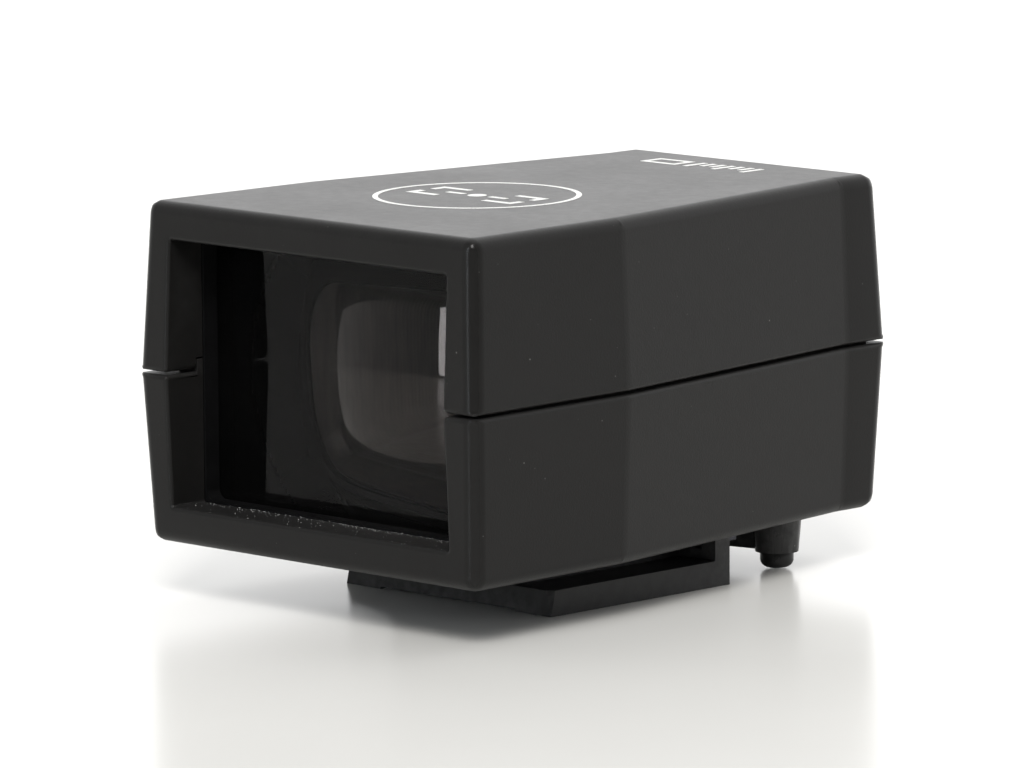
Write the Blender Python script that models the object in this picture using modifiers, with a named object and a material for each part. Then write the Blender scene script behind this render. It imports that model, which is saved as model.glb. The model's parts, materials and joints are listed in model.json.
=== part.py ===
"""Shoe-mounted bright-line optical viewfinder, built from its separate pieces.

Frame: +X right seen from the front window, -Y towards the subject (front window),
+Y towards the eye, +Z up.  The origin is under the middle of the body, on the plane
that the foot stands on.  All lengths are in metres.
"""
import math

import bmesh
import bpy
from mathutils import Matrix, Vector

MM = 0.001

# Casing: plan half-widths at the seam, measured stations and heights
BODY_LENGTH = 42.0 * MM
FRONT_HALF_WIDTH = 15.25 * MM
FIRST_CREASE_FROM_FRONT = 14.0 * MM
FIRST_CREASE_HALF_WIDTH = 14.87 * MM
SECOND_CREASE_FROM_FRONT = 37.9 * MM
REAR_HALF_WIDTH = 11.3 * MM
BODY_BOTTOM = 3.7 * MM
BODY_TOP = 25.6 * MM
SEAM_Z = 14.65 * MM
DRAFT = 0.046
WALL = 1.5 * MM
EDGE_ROUND = 0.7 * MM
SEAM_GAP = 0.3 * MM
SEAM_CHAMFER = 0.28 * MM
LIP_INSET = 0.9 * MM
LIP_THICKNESS = 0.45 * MM
LIP_HEIGHT = 0.7 * MM
LIP_GAP = 0.12 * MM
LIP_ROOT = 1.5 * MM
CAVITY_OVERLAP = 2.0 * MM

# Front window and its glass
FRONT_WALL = 3.2 * MM
WINDOW_HALF_WIDTH = 12.45 * MM
WINDOW_HALF_HEIGHT = 8.55 * MM
WINDOW_CORNER = 0.2 * MM
GASKET_THICKNESS = 1.15 * MM
LENS_HALF_WIDTH = 12.95 * MM
LENS_HALF_HEIGHT = 9.1 * MM
LENS_THICKNESS = 3.5 * MM
LENS_DISH_RADIUS = 25.5 * MM
LENS_DISH_DEPTH = 2.7 * MM
PLATE_CORNER = 0.8 * MM
GASKET_OPENING = (12.35 * MM, 8.45 * MM)
RETAINER_OUTER = (12.6 * MM, 8.9 * MM)
RETAINER_OPENING = (11.8 * MM, 8.3 * MM)
RETAINER_CORNER = 3.0 * MM
MASK_OUTER = (12.4 * MM, 8.8 * MM)
MASK_OPENING = (11.2 * MM, 7.35 * MM)
MASK_CORNER = 5.0 * MM
MASK_DROP = 0.85 * MM
PAD_THICKNESS = 0.3 * MM
PAD_GAP = 0.06 * MM
PAD_HALF_HEIGHT = 4.0 * MM
PAD_LENGTH = 2.6 * MM
STACK_GAP = 0.1 * MM
RETAINER_THICKNESS = 0.8 * MM
MASK_THICKNESS = 0.4 * MM

# Light tunnel between the front lens and the eyepiece
TUNNEL_FRONT = (12.0 * MM, 8.9 * MM)
TUNNEL_NECK = (10.1 * MM, 7.85 * MM)
TUNNEL_REAR = (6.5 * MM, 6.1 * MM)
TUNNEL_WALL = 0.8 * MM
TUNNEL_CORNER = 3.0 * MM
TUNNEL_NECK_Y = -9.3 * MM
TUNNEL_END_Y = 14.9 * MM

# Eyepiece, on the line of sight
EYEPIECE_LENS_RADIUS = 4.8 * MM
EYEPIECE_BORE_RADIUS = 4.0 * MM
EYEPIECE_SEAT_RADIUS = 6.4 * MM
EYEPIECE_RIM_RADIUS = 7.2 * MM
REAR_WALL = 1.6 * MM
RIM_DEPTH = 0.75 * MM
RIM_TUBE_WALL = 0.6 * MM
EYEPIECE_SHELF = 0.9 * MM
EYEPIECE_PLAY = 0.1 * MM
SPACER_THICKNESS = 0.3 * MM
EYEPIECE_EDGE = 1.1 * MM
EYEPIECE_CROWN = 0.75 * MM
RETICLE_OPENING = (3.2 * MM, 2.2 * MM)
LINE_PLACE = (4.6 * MM, 3.3 * MM)
LINE_WIDTH = 0.16 * MM
LINE_LENGTH = 1.5 * MM
LINE_BREAK = 0.25 * MM

# Accessory-shoe foot
FOOT_HALF_WIDTH = 9.25 * MM
FOOT_THICKNESS = 1.67 * MM
FOOT_FRONT_Y = -8.4 * MM
FOOT_REAR_Y = 7.95 * MM
FOOT_NECK_HALF_WIDTH = 6.1 * MM
FOOT_STOP_THICKNESS = 1.35 * MM
FOOT_SEAT_GAP = 0.1 * MM
FOOT_RECESS_DEPTH = 0.15 * MM
FOOT_LEAD = 0.42 * MM
FOOT_LEAD_SLACK = 0.02 * MM
FOOT_SINK_DEPTH = 1.5 * MM

# Shoe lock: lever, knob, pivot and yoke
PIVOT_Y = 13.0 * MM
KNOB_X = 7.26 * MM
KNOB_Y = 14.5 * MM
LEVER_BOTTOM = 1.15 * MM
LEVER_TOP = 3.4 * MM
LEVER_STEP = 0.2 * MM
LEVER_ARM_START = 1.4 * MM
LEVER_BORE = 1.25 * MM
LEVER_HEAD_SINK = 1.7 * MM
KNOB_SPIGOT = 0.55 * MM
KNOB_DOME = 0.55 * MM
KNOB_SOCKET_ROOF = 0.6 * MM
LEVER_ARM_HALF_WIDTH = 0.62 * MM
HUB_RADIUS = 2.3 * MM
HUB_OFFSET = 0.6 * MM
HUB_OFFSET_ANGLE = math.radians(-60.0)
KNOB_RADIUS = 1.02 * MM
KNOB_BOTTOM = 0.12 * MM
BOSS_BOTTOM_RADIUS = 1.42 * MM
BOSS_TOP_RADIUS = 1.62 * MM
PRONG_X = 7.5 * MM
PRONG_HALF_WIDTH = 0.4 * MM
PRONG_SLOT_HALF_WIDTH = 0.55 * MM
YOKE_LOW = 2.5 * MM
YOKE_HIGH = 3.25 * MM
YOKE_FRONT_GAP = 0.45 * MM
YOKE_REAR_GAP = 0.15 * MM
YOKE_SLOT_PLAY = 0.15 * MM
PRONG_SETBACK = 0.02 * MM
WASHER_RADIUS = 2.1 * MM
WASHER_THICKNESS = 0.14 * MM
WASHER_GAP = 0.08 * MM

# Fasteners
CASE_SCREWS = (
    ("front_left", -11.9 * MM, -7.6 * MM),
    ("front_right", 11.9 * MM, -7.6 * MM),
    ("rear_left", -8.35 * MM, 16.4 * MM),
    ("rear_right", 8.35 * MM, 16.4 * MM),
)
FOOT_SCREWS = (("front", -5.4 * MM), ("rear", 0.4 * MM))
POST_RADIUS = 1.25 * MM
CASE_SCREW_HEAD = 0.95 * MM
CASE_SCREW_SHANK = 0.5 * MM
FOOT_SCREW_HEAD = 1.7 * MM
FOOT_SCREW_SHANK = 0.85 * MM
CASE_SCREW_HEAD_HEIGHT = 0.75 * MM
CASE_SCREW_LENGTH = 15.0 * MM
FOOT_SCREW_HEAD_HEIGHT = 0.95 * MM
FOOT_SCREW_LENGTH = 5.8 * MM
FOOT_SCREW_SUNK = 0.45 * MM
SCREW_CLEARANCE = 0.1 * MM
SCREW_BREAK = 0.12 * MM
THREAD_DEPTH = 6.0 * MM
SINK_PLAY = 0.15 * MM
SINK_DEPTH = 1.0 * MM
POST_SEAM_GAP = 0.25 * MM
BOSS_RADIUS = 2.0 * MM
BOSS_RISE = 1.1 * MM
PIVOT_SHANK = 0.8 * MM
PIVOT_SHOULDER = 1.15 * MM
PIVOT_HEAD = 1.6 * MM
PIVOT_HEAD_HEIGHT = 0.6 * MM
PIVOT_TIP_Z = 6.2 * MM

# How far a cutter runs past what it cuts, and a boss into what it joins
PAST = 1.0 * MM
INTO = 0.5 * MM
TINY = 1e-6

FRONT_Y = -BODY_LENGTH / 2
REAR_Y = BODY_LENGTH / 2
AXIS_Z = SEAM_Z
GASKET_Y = FRONT_Y + FRONT_WALL + STACK_GAP
LENS_Y = GASKET_Y + GASKET_THICKNESS + STACK_GAP
RETAINER_Y = LENS_Y + LENS_THICKNESS + STACK_GAP
FIELD_MASK_Y = RETAINER_Y + RETAINER_THICKNESS + STACK_GAP
TUNNEL_Y = FIELD_MASK_Y + MASK_THICKNESS + STACK_GAP
RETICLE_Y = TUNNEL_END_Y + STACK_GAP
SEAT_Y = RETICLE_Y + MASK_THICKNESS + STACK_GAP
REAR_WALL_Y = REAR_Y - REAR_WALL


def clear_scene():
    for obj in list(bpy.data.objects):
        bpy.data.objects.remove(obj, do_unlink=True)


def new_collection(name):
    collection = bpy.data.collections.new(name)
    bpy.context.scene.collection.children.link(collection)
    return collection


def principled(name, colour, roughness, metallic=0.0, transmission=0.0):
    material = bpy.data.materials.new(name)
    material.use_nodes = True
    shader = material.node_tree.nodes["Principled BSDF"]
    shader.inputs["Base Color"].default_value = (*colour, 1.0)
    shader.inputs["Roughness"].default_value = roughness
    shader.inputs["Metallic"].default_value = metallic
    shader.inputs["Transmission Weight"].default_value = transmission
    material.diffuse_color = (*colour, 1.0)
    return material


def object_from_bmesh(name, bm, collection, material=None):
    bmesh.ops.recalc_face_normals(bm, faces=bm.faces)
    mesh = bpy.data.meshes.new(name)
    bm.to_mesh(mesh)
    bm.free()
    obj = bpy.data.objects.new(name, mesh)
    collection.objects.link(obj)
    if material is not None:
        mesh.materials.append(material)
    return obj


def cutter(obj):
    obj.hide_render = True
    obj.display_type = "WIRE"
    return obj


def boolean(obj, tool, operation):
    modifier = obj.modifiers.new(operation.lower(), "BOOLEAN")
    modifier.operation = operation
    modifier.object = tool
    modifier.solver = "EXACT"


def bevel(obj, width, segments, angle_degrees=30.0):
    modifier = obj.modifiers.new("bevel", "BEVEL")
    modifier.width = width
    modifier.segments = segments
    modifier.limit_method = "ANGLE"
    modifier.angle_limit = math.radians(angle_degrees)
    modifier.use_clamp_overlap = True


def solid_through(name, sections, collection, material=None):
    """Closed solid through outlines that have the same number of points, in order."""
    bm = bmesh.new()
    start_cap = bm.faces.new([bm.verts.new(point) for point in sections[0]])
    face = start_cap
    for near, far in zip(sections, sections[1:]):
        extruded = bmesh.ops.extrude_face_region(bm, geom=[face])
        if face is not start_cap:
            bmesh.ops.delete(bm, geom=[face], context="FACES_ONLY")
        face = next(item for item in extruded["geom"] if isinstance(item, bmesh.types.BMFace))
        for vert in face.verts:
            nearest = min(range(len(near)), key=lambda i: (vert.co - Vector(near[i])).length)
            vert.co = far[nearest]
    return object_from_bmesh(name, bm, collection, material)


def solid_between(name, start, end, collection, material=None):
    return solid_through(name, (start, end), collection, material)


def box(name, low, high, collection, material=None):
    bm = bmesh.new()
    bmesh.ops.create_cube(bm, size=1.0)
    low = Vector(low)
    high = Vector(high)
    for vert in bm.verts:
        vert.co = Vector((low[i] + (vert.co[i] + 0.5) * (high[i] - low[i]) for i in range(3)))
    return object_from_bmesh(name, bm, collection, material)


def upright_cylinder(
        name, radius, centre, z_low, z_high, collection, material=None, segments=20, top_radius=None):
    bm = bmesh.new()
    height = z_high - z_low
    middle = Matrix.Translation((centre[0], centre[1], (z_low + z_high) / 2))
    upper = radius if top_radius is None else top_radius
    bmesh.ops.create_cone(
        bm, cap_ends=True, segments=segments, radius1=radius, radius2=upper, depth=height, matrix=middle)
    return object_from_bmesh(name, bm, collection, material)


def sight_cylinder(name, radius, y_low, y_high, collection, segments=40):
    bm = bmesh.new()
    turn = Matrix.Rotation(math.radians(90.0), 4, "X")
    middle = Matrix.Translation((0.0, (y_low + y_high) / 2, AXIS_Z))
    bmesh.ops.create_cone(
        bm, cap_ends=True, segments=segments, radius1=radius, radius2=radius,
        depth=y_high - y_low, matrix=middle @ turn)
    return object_from_bmesh(name, bm, collection)


def rounded_rectangle(half_width, half_height, corner, steps=4):
    """Counter-clockwise outline with a quarter circle at each corner."""
    points = []
    signs = ((1, 1), (-1, 1), (-1, -1), (1, -1))
    for index, (sign_x, sign_y) in enumerate(signs):
        centre_x = sign_x * (half_width - corner)
        centre_y = sign_y * (half_height - corner)
        for step in range(steps + 1):
            angle = math.radians(90.0 * index + 90.0 * step / steps)
            points.append((centre_x + corner * math.cos(angle), centre_y + corner * math.sin(angle)))
    return points


def sight_section(half_width, half_height, corner, y, steps=4):
    """Rounded rectangle across the line of sight at station y."""
    outline = rounded_rectangle(half_width, half_height, corner, steps)
    return [(x, y, AXIS_Z + z) for x, z in outline]


def sight_prism(name, half_width, half_height, corner, y_low, y_high, collection, material=None, steps=4):
    start = sight_section(half_width, half_height, corner, y_low, steps)
    end = sight_section(half_width, half_height, corner, y_high, steps)
    return solid_between(name, start, end, collection, material)


def turned(name, profile, location, along_sight, collection, material, steps=24):
    """Profile of (radius, height) points, turned about the object's own axis."""
    mesh = bpy.data.meshes.new(name)
    points = [(radius, 0.0, height) for radius, height in profile]
    closed = profile[0][0] > 0.0 and profile[-1][0] > 0.0
    edges = [(i, i + 1) for i in range(len(points) - 1)]
    if closed:
        edges.append((len(points) - 1, 0))
    mesh.from_pydata(points, edges, [])
    mesh.materials.append(material)
    obj = bpy.data.objects.new(name, mesh)
    collection.objects.link(obj)
    obj.location = location
    if along_sight:
        obj.rotation_euler = (math.radians(-90.0), 0.0, 0.0)
    screw = obj.modifiers.new("turn", "SCREW")
    screw.axis = "Z"
    screw.angle = math.radians(360.0)
    screw.steps = steps
    screw.render_steps = steps
    screw.use_merge_vertices = True
    screw.merge_threshold = 0.00001
    screw.use_smooth_shade = True
    return obj


def body_plan(inset, height, front_y, rear_y):
    """Plan of the casing at a height above or below the seam, drawn in by an inset.

    The outer faces lean in all round; the ends of an inner form stand plumb.
    """
    drawn_in = DRAFT * abs(height) + inset
    end_lean = DRAFT * abs(height) if inset == 0.0 else 0.0
    front = front_y + end_lean
    rear = rear_y - end_lean
    half = (
        (FRONT_HALF_WIDTH - drawn_in, front),
        (FIRST_CREASE_HALF_WIDTH - drawn_in, FRONT_Y + FIRST_CREASE_FROM_FRONT),
        (REAR_HALF_WIDTH - drawn_in, FRONT_Y + SECOND_CREASE_FROM_FRONT),
        (REAR_HALF_WIDTH - drawn_in, rear),
    )
    mirrored = [(-x, y) for x, y in reversed(half)]
    z = SEAM_Z + height
    return [(x, y, z) for x, y in list(half) + mirrored]


def body_block(name, inset, near, far, front_y, rear_y, collection, material=None):
    """Drafted block of the casing's plan between two heights measured from the seam."""
    start = body_plan(inset, near, front_y, rear_y)
    end = body_plan(inset, far, front_y, rear_y)
    return solid_between(name, start, end, collection, material)


def shell_half(name, side, parts, tools, material):
    """One half of the casing; side is +1 for the upper half and -1 for the lower half."""
    reach = (BODY_TOP - SEAM_Z) if side > 0 else (SEAM_Z - BODY_BOTTOM)
    rim = side * SEAM_GAP / 2
    shell = body_block(name, 0.0, rim, side * reach, FRONT_Y, REAR_Y, parts, material)
    bevel(shell, EDGE_ROUND, 3)
    groove = shell.modifiers["bevel"]
    groove.limit_method = "WEIGHT"
    weight = shell.data.attributes.new("bevel_weight_edge", "FLOAT", "EDGE")
    for edge in shell.data.edges:
        ends = [shell.data.vertices[i].co for i in edge.vertices]
        on_rim = all(abs(point.z - (SEAM_Z + rim)) < TINY for point in ends)
        upright = abs(ends[0].z - ends[1].z) > TINY
        corner = max(abs(ends[0].y), abs(ends[1].y)) > BODY_LENGTH / 2 - PAST
        if on_rim:
            weight.data[edge.index].value = SEAM_CHAMFER / EDGE_ROUND
        elif corner or not upright:
            weight.data[edge.index].value = 1.0
    cavity_front = FRONT_Y + FRONT_WALL
    cavity = body_block(
        "cut_cavity_" + name, WALL, -side * CAVITY_OVERLAP, side * (reach - WALL), cavity_front, REAR_WALL_Y,
        tools)
    boolean(shell, cutter(cavity), "DIFFERENCE")
    return shell, reach


def add_seam_lip(shell, side, parts, tools):
    """The lower half carries a raised lip; the upper half is rebated to take it."""
    if side < 0:
        lip = body_block(
            "add_seam_lip", LIP_INSET + LIP_GAP, -LIP_ROOT, LIP_HEIGHT,
            FRONT_Y + FRONT_WALL - LIP_THICKNESS, REAR_WALL_Y + LIP_THICKNESS, tools)
        hollow = body_block(
            "cut_seam_lip", LIP_INSET + LIP_GAP + LIP_THICKNESS, -LIP_ROOT - PAST, LIP_HEIGHT + PAST,
            FRONT_Y + FRONT_WALL, REAR_WALL_Y, tools)
        boolean(lip, cutter(hollow), "DIFFERENCE")
        boolean(shell, cutter(lip), "UNION")
    else:
        rebate = body_block(
            "cut_seam_rebate", LIP_INSET, -PAST, LIP_HEIGHT + LIP_GAP,
            FRONT_Y + FRONT_WALL - LIP_THICKNESS - LIP_GAP, REAR_WALL_Y + LIP_THICKNESS + LIP_GAP, tools)
        boolean(shell, cutter(rebate), "DIFFERENCE")


def add_posts(shell, side, reach, tools):
    """Screw posts stand inside the side walls and meet at the seam."""
    for place, x, y in CASE_SCREWS:
        near = SEAM_Z + side * POST_SEAM_GAP
        far = SEAM_Z + side * (reach - WALL / 2)
        post = upright_cylinder(
            f"add_post_{place}_{shell.name}", POST_RADIUS, (x, y), min(near, far), max(near, far), tools,
            segments=16)
        boolean(shell, cutter(post), "UNION")


def make_upper_shell(parts, tools, material):
    shell, reach = shell_half("upper_shell", 1, parts, tools, material)
    add_seam_lip(shell, 1, parts, tools)
    add_posts(shell, 1, reach, tools)
    for place, x, y in CASE_SCREWS:
        hole = upright_cylinder(
            "cut_upper_thread_" + place, CASE_SCREW_SHANK + SCREW_CLEARANCE, (x, y),
            SEAM_Z - PAST, SEAM_Z + THREAD_DEPTH, tools, segments=12)
        boolean(shell, cutter(hole), "DIFFERENCE")
    return shell


def make_lower_shell(parts, tools, material):
    shell, reach = shell_half("lower_shell", -1, parts, tools, material)
    add_seam_lip(shell, -1, parts, tools)
    add_posts(shell, -1, reach, tools)
    for place, x, y in CASE_SCREWS:
        bore = upright_cylinder(
            "cut_lower_bore_" + place, CASE_SCREW_SHANK + SCREW_CLEARANCE, (x, y),
            BODY_BOTTOM - PAST, SEAM_Z + PAST, tools, segments=12)
        boolean(shell, cutter(bore), "DIFFERENCE")
        sink = upright_cylinder(
            "cut_lower_sink_" + place, CASE_SCREW_HEAD + SINK_PLAY, (x, y),
            BODY_BOTTOM - PAST, BODY_BOTTOM + SINK_DEPTH, tools, segments=20)
        boolean(shell, cutter(sink), "DIFFERENCE")
    floor = BODY_BOTTOM + WALL
    for place, y in FOOT_SCREWS:
        boss = upright_cylinder(
            "add_foot_boss_" + place, BOSS_RADIUS, (0.0, y), floor - INTO, floor + BOSS_RISE, tools)
        boolean(shell, cutter(boss), "UNION")
        hole = upright_cylinder(
            "cut_foot_hole_" + place, FOOT_SCREW_SHANK + SCREW_CLEARANCE, (0.0, y),
            BODY_BOTTOM - PAST, floor + BOSS_RISE + PAST, tools, segments=16)
        boolean(shell, cutter(hole), "DIFFERENCE")
    boss = upright_cylinder(
        "add_pivot_boss", BOSS_RADIUS, (0.0, PIVOT_Y), floor - INTO, floor + BOSS_RISE, tools)
    boolean(shell, cutter(boss), "UNION")
    hole = upright_cylinder(
        "cut_pivot_hole", PIVOT_SHANK + SCREW_CLEARANCE, (0.0, PIVOT_Y),
        BODY_BOTTOM - PAST, floor + BOSS_RISE + PAST, tools, segments=16)
    boolean(shell, cutter(hole), "DIFFERENCE")
    return shell


def cut_sight_openings(shells, tools):
    """The front window and the eyepiece bore are shared by both halves."""
    window = sight_prism(
        "cut_window", WINDOW_HALF_WIDTH, WINDOW_HALF_HEIGHT, WINDOW_CORNER,
        FRONT_Y - PAST, FRONT_Y + FRONT_WALL + PAST, tools, steps=3)
    bore = sight_cylinder(
        "cut_eyepiece_bore", EYEPIECE_SEAT_RADIUS - EYEPIECE_SHELF, REAR_WALL_Y - PAST, REAR_Y + PAST, tools)
    counterbore = sight_cylinder(
        "cut_eyepiece_counterbore", EYEPIECE_RIM_RADIUS + EYEPIECE_PLAY, REAR_Y - RIM_DEPTH - 0.05 * MM,
        REAR_Y + PAST, tools)
    for shell in shells:
        for tool in (window, bore, counterbore):
            boolean(shell, cutter(tool), "DIFFERENCE")


def frame_piece(name, outer, inner, corner_in, y_low, thickness, parts, tools, material, drop=0.0):
    """Flat frame across the line of sight; its rounded opening may sit below the middle."""
    frame = sight_prism(
        name, outer[0], outer[1], PLATE_CORNER, y_low, y_low + thickness, parts, material, steps=2)
    opening = sight_prism(
        "cut_" + name, inner[0], inner[1], corner_in, y_low - PAST, y_low + thickness + PAST, tools)
    opening.location.z -= drop
    boolean(frame, cutter(opening), "DIFFERENCE")
    return frame


def make_front_lens(parts, tools, material):
    """Plano-concave negative lens; its dished back carries the semi-mirror."""
    lens = sight_prism(
        "front_lens", LENS_HALF_WIDTH, LENS_HALF_HEIGHT, PLATE_CORNER, LENS_Y, LENS_Y + LENS_THICKNESS, parts,
        material, steps=2)
    bm = bmesh.new()
    centre_y = LENS_Y + LENS_THICKNESS - LENS_DISH_DEPTH + LENS_DISH_RADIUS
    place = Matrix.Translation((0.0, centre_y, AXIS_Z)) @ Matrix.Rotation(math.radians(90.0), 4, "X")
    bmesh.ops.create_uvsphere(bm, u_segments=40, v_segments=48, radius=LENS_DISH_RADIUS, matrix=place)
    dish = object_from_bmesh("cut_front_lens_dish", bm, tools)
    boolean(lens, cutter(dish), "DIFFERENCE")
    return lens


def tunnel_section(size, inset, y):
    """One section of the light tunnel, drawn in by inset."""
    return sight_section(size[0] - inset, size[1] - inset, TUNNEL_CORNER - inset, y)


def carried_past(size, other, run):
    """Section size a little beyond an end, on the line from the other section through this one."""
    return tuple(here + (here - there) * PAST / run for here, there in zip(size, other))


def make_light_tunnel(parts, tools, material):
    """Tapered duct with a wider mouth, which keeps stray light out of the view."""
    tunnel = solid_through("light_tunnel", (
        tunnel_section(TUNNEL_FRONT, 0.0, TUNNEL_Y), tunnel_section(TUNNEL_NECK, 0.0, TUNNEL_NECK_Y),
        tunnel_section(TUNNEL_REAR, 0.0, TUNNEL_END_Y)), parts, material)
    beyond_front = carried_past(TUNNEL_FRONT, TUNNEL_NECK, TUNNEL_NECK_Y - TUNNEL_Y)
    beyond_rear = carried_past(TUNNEL_REAR, TUNNEL_NECK, TUNNEL_END_Y - TUNNEL_NECK_Y)
    hollow = solid_through("cut_light_tunnel", (
        tunnel_section(beyond_front, TUNNEL_WALL, TUNNEL_Y - PAST),
        tunnel_section(TUNNEL_NECK, TUNNEL_WALL, TUNNEL_NECK_Y),
        tunnel_section(beyond_rear, TUNNEL_WALL, TUNNEL_END_Y + PAST)), tools)
    boolean(tunnel, cutter(hollow), "DIFFERENCE")
    return tunnel


def make_reticle(parts, tools, material):
    """Thin mask round the eyepiece; eight slits mark the corners of the bright frame."""
    reticle = frame_piece(
        "frame_line_mask", TUNNEL_REAR, RETICLE_OPENING, PLATE_CORNER, RETICLE_Y, MASK_THICKNESS, parts,
        tools, material)
    line_x, line_z = LINE_PLACE
    half_line = LINE_WIDTH / 2
    for number, (sign_x, sign_z) in enumerate(((1, 1), (-1, 1), (-1, -1), (1, -1))):
        flat = sorted((sign_x * (line_x - LINE_BREAK), sign_x * (line_x - LINE_BREAK - LINE_LENGTH)))
        tall = sorted((sign_z * (line_z - LINE_BREAK), sign_z * (line_z - LINE_BREAK - LINE_LENGTH)))
        z = AXIS_Z + sign_z * line_z
        x = sign_x * line_x
        level = box(
            f"cut_level_line_{number}", (flat[0], RETICLE_Y - PAST, z - half_line),
            (flat[1], RETICLE_Y + PAST, z + half_line), tools)
        plumb = box(
            f"cut_plumb_line_{number}", (x - half_line, RETICLE_Y - PAST, AXIS_Z + tall[0]),
            (x + half_line, RETICLE_Y + PAST, AXIS_Z + tall[1]), tools)
        boolean(reticle, cutter(level), "DIFFERENCE")
        boolean(reticle, cutter(plumb), "DIFFERENCE")
    return reticle


def make_eyepiece(parts, materials):
    """Seat, spacer, plano-convex lens and outer rim, all turned about the line of sight."""
    seat_end = REAR_WALL_Y - STACK_GAP
    seat_length = seat_end - SEAT_Y
    lens_room = EYEPIECE_LENS_RADIUS + EYEPIECE_PLAY
    seat = [
        (EYEPIECE_SEAT_RADIUS, seat_length),
        (EYEPIECE_SEAT_RADIUS, 0.0),
        (EYEPIECE_BORE_RADIUS, 0.0),
        (EYEPIECE_BORE_RADIUS, EYEPIECE_SHELF),
        (lens_room, EYEPIECE_SHELF),
        (lens_room, seat_length),
    ]
    turned("eyepiece_seat", seat, (0.0, SEAT_Y, AXIS_Z), True, parts, materials["matt_black"], 36)
    spacer = [
        (EYEPIECE_LENS_RADIUS, SPACER_THICKNESS),
        (EYEPIECE_LENS_RADIUS, 0.0),
        (EYEPIECE_BORE_RADIUS, 0.0),
        (EYEPIECE_BORE_RADIUS, SPACER_THICKNESS),
    ]
    spacer_y = SEAT_Y + EYEPIECE_SHELF + STACK_GAP / 2
    turned("eyepiece_spacer", spacer, (0.0, spacer_y, AXIS_Z), True, parts, materials["rubber"], 36)
    lens_y = spacer_y + SPACER_THICKNESS + STACK_GAP / 2
    sphere = (EYEPIECE_LENS_RADIUS ** 2 + EYEPIECE_CROWN ** 2) / (2 * EYEPIECE_CROWN)
    top = EYEPIECE_EDGE + EYEPIECE_CROWN
    rise = []
    for step in range(7):
        radius = EYEPIECE_LENS_RADIUS * step / 6
        rise.append((radius, top - (sphere - math.sqrt(sphere ** 2 - radius ** 2))))
    profile = rise + [(EYEPIECE_LENS_RADIUS, 0.0), (0.0, 0.0)]
    turned("eyepiece_lens", profile, (0.0, lens_y, AXIS_Z), True, parts, materials["glass"], 36)
    tube = EYEPIECE_SEAT_RADIUS - 1.0 * MM
    hole = tube - RIM_TUBE_WALL
    rim = [
        (EYEPIECE_RIM_RADIUS, RIM_DEPTH - 0.2 * MM),
        (EYEPIECE_RIM_RADIUS, 0.0),
        (tube, 0.0),
        (tube, -RIM_DEPTH),
        (hole, -RIM_DEPTH),
        (hole, 0.0),
        (tube + 0.4 * MM, RIM_DEPTH - 0.1 * MM),
        (EYEPIECE_RIM_RADIUS - 0.3 * MM, RIM_DEPTH),
    ]
    rim_y = REAR_Y - RIM_DEPTH
    turned("eyepiece_rim", rim, (0.0, rim_y, AXIS_Z), True, parts, materials["rubber"], 40)


def make_lens_pads(parts, material):
    """Foam strips take up the play between the front lens and the side walls' ledges."""
    for side, name in ((-1, "lens_pad_left"), (1, "lens_pad_right")):
        inner = side * (LENS_HALF_WIDTH + PAD_GAP)
        outer = side * (LENS_HALF_WIDTH + PAD_GAP + PAD_THICKNESS)
        low_x, high_x = sorted((inner, outer))
        low_y = LENS_Y + 0.4 * MM
        low_z = AXIS_Z - PAD_HALF_HEIGHT
        high_z = AXIS_Z + PAD_HALF_HEIGHT
        box(name, (low_x, low_y, low_z), (high_x, low_y + PAD_LENGTH, high_z), parts, material)


def corner_wedge(name, side, tools):
    """Lead-in at a front corner of the flange: wide at its top face, gone at its bottom."""
    x = side * FOOT_HALF_WIDTH
    out = side * PAST
    top = [
        (x - side * FOOT_LEAD, FOOT_FRONT_Y, FOOT_THICKNESS),
        (x, FOOT_FRONT_Y + FOOT_LEAD, FOOT_THICKNESS),
        (x + out, FOOT_FRONT_Y + FOOT_LEAD, FOOT_THICKNESS),
        (x + out, FOOT_FRONT_Y - PAST, FOOT_THICKNESS),
        (x - side * FOOT_LEAD, FOOT_FRONT_Y - PAST, FOOT_THICKNESS),
    ]
    bottom = [
        (x - side * FOOT_LEAD_SLACK, FOOT_FRONT_Y, 0.0),
        (x, FOOT_FRONT_Y + FOOT_LEAD_SLACK, 0.0),
        (x + out, FOOT_FRONT_Y + FOOT_LEAD_SLACK, 0.0),
        (x + out, FOOT_FRONT_Y - PAST, 0.0),
        (x - side * FOOT_LEAD_SLACK, FOOT_FRONT_Y - PAST, 0.0),
    ]
    return cutter(solid_between(name, top, bottom, tools))


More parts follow.
